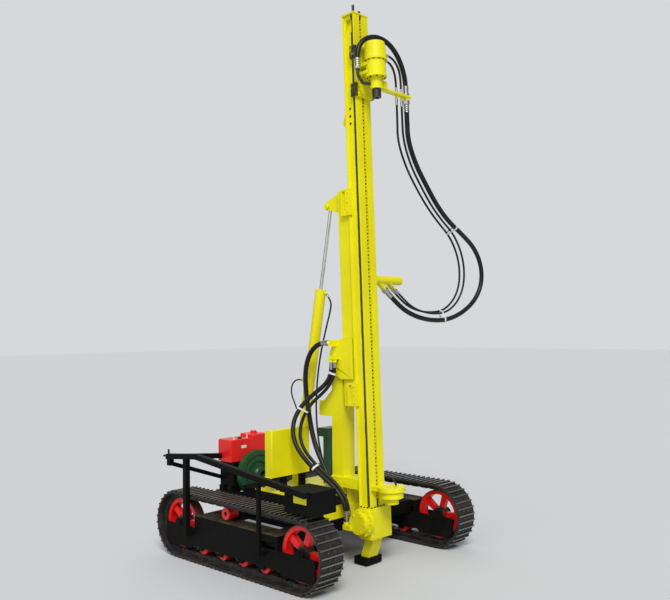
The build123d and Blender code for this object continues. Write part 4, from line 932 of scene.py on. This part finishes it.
# weld beads: straight runs where plates meet, each (body, from, to), in millimetres as the bolts are
beadSet = {"radius": 0.0045, "ripple": 0.007, "depth": 0.2, "step": 0.00175, "sides": 8, "sharp": 60.0, "runs": [
    ("chassis", (300, -78, 735), (430, -78, 735)), ("chassis", (300, 78, 735), (430, 78, 735)),
    ("chassis", (430, -78, 735), (430, 78, 735)), ("chassis", (300, -78, 735), (300, 78, 735)),
    ("mast", (511.5, -75, 1365), (511.5, -75, 1570)), ("mast", (511.5, 75, 1365), (511.5, 75, 1570)),
    ("mast", (511.5, -75, 3050), (511.5, -75, 3290)), ("mast", (511.5, 75, 3050), (511.5, 75, 3290)),
    ("feed_beam", (591, -30, 3860), (591, -30, 4010)), ("feed_beam", (591, 30, 3860), (591, 30, 4010)),
    ("carriage", (858, 54, 4158), (858, 120, 4158)), ("chassis", (-46, -584, 748), (50, -584, 748))]}


def bead(start, end, spec):  # a tube whose radius swells and falls once in each ripple length
    d, a, b = basis(end - start)
    long = np.linalg.norm(end - start)
    along = np.linspace(0.0, 1.0, int(long / spec["step"]))[:, None]
    swell = spec["radius"] * (1.0 + spec["depth"] * np.cos(2.0 * math.pi * along * long / spec["ripple"]))
    points = (start + along * (end - start))[:, None] + swell[:, :, None] * circle(a, b, spec["sides"])
    return points.reshape(-1, 3), cappedFaces(len(along), spec["sides"])


for number, (on, start, end) in enumerate(beadSet["runs"]):
    run = bead(*placed(frameOf(on), [start, end]), beadSet)
    makePiece(f"bead{number}", *run, yellowPaint, on, "yellow_paint", sharp=beadSet["sharp"])
print("beads made:", len(beadSet["runs"]))

# small blank plate on the hood's face
plateSet = {"x": (-656.2, -654.6), "y": (-345, -283), "z": (916, 942)}
plateCorners = onMachine(crossed(plateSet["x"], plateSet["y"], plateSet["z"]))
makePiece("hoodPlate", plateCorners, boxFaces, whiteTie, "chassis", "chrome")

# rounded edges on the folded and welded plates
roundSet = {"width": 0.003, "angle": 38.0, "segments": 2, "merge": 1e-5, "on": [
    "mast_post", "mast_column", "feed_beam", "oil_tank", "side_box", "foot_leg", "foot_pad", "gearbox",
    "hinge_bracket", "beam_guides", "carriage", "guide_slippers", "beam_lug", "beam_cap", "hose_bracket",
    "tank_stand", "box_plate", "deck"]}
for name in roundSet["on"]:
    weld = nodes[name].modifiers.new("weld", "WELD")
    weld.merge_threshold = roundSet["merge"]
    bevel = nodes[name].modifiers.new("bevel", "BEVEL")
    bevel.width, bevel.segments = roundSet["width"], roundSet["segments"]
    bevel.limit_method, bevel.angle_limit = "ANGLE", math.radians(roundSet["angle"])
    bevel.harden_normals = True
print("edges rounded:", len(roundSet["on"]))

# floor, sky and lamps
studioSet = {"floor": (0.66, 0.67, 0.68), "floorHalf": 60.0, "spots": (1.5, 2.0), "spotShare": 0.1, "darker": 0.96,
             "rough": 0.9, "shine": 0.1, "sky": (0.84, 0.86, 0.88), "skyPower": 0.34, "seenPower": 0.80,
             "lampFar": 12.0, "suns": [  # name, way to the lamp, power and spread
                 ("key", (0.72, -0.62, 0.95), 2.34, 24.0), ("fill", (0.15, -1.0, 0.35), 0.60, 60.0),
                 ("back", (-0.8, 0.6, 0.7), 0.45, 60.0)]}


def makeStudio(spec):
    plane = np.array([(-1.0, -1.0, 0.0), (1.0, -1.0, 0.0), (1.0, 1.0, 0.0), (-1.0, 1.0, 0.0)]) * spec["floorHalf"]
    ground = Finish("paleFloor")
    spot = ground.noise(ground.place(), *spec["spots"])
    tone = ground.mix(spot * spec["spotShare"], spec["floor"], tuple(v * spec["darker"] for v in spec["floor"]))
    finish = ground.close(tone, spec["rough"], shine=spec["shine"])
    floor = makePiece("floor", plane, [[0, 1, 2, 3]], finish, None)
    world = bpy.data.worlds.new("studioSky")
    world.use_nodes = True
    tree = world.node_tree
    tree.nodes["Background"].inputs[0].default_value = (*spec["sky"], 1.0)
    ray = tree.nodes.new("ShaderNodeLightPath")
    power = Sock(tree, ray.outputs["Is Camera Ray"]) * (spec["seenPower"] - spec["skyPower"]) + spec["skyPower"]
    tree.links.new(power.socket, tree.nodes["Background"].inputs[1])
    scene.world = world
    for name, toward, power, spread in spec["suns"]:
        lamp = bpy.data.lights.new(name, "SUN")
        lamp.energy = power
        lamp.angle = math.radians(spread)
        d, a, b = basis(toward)
        aim(name, lamp, (a, b, d), d * spec["lampFar"])


makeStudio(studioSet)
print("studio made")
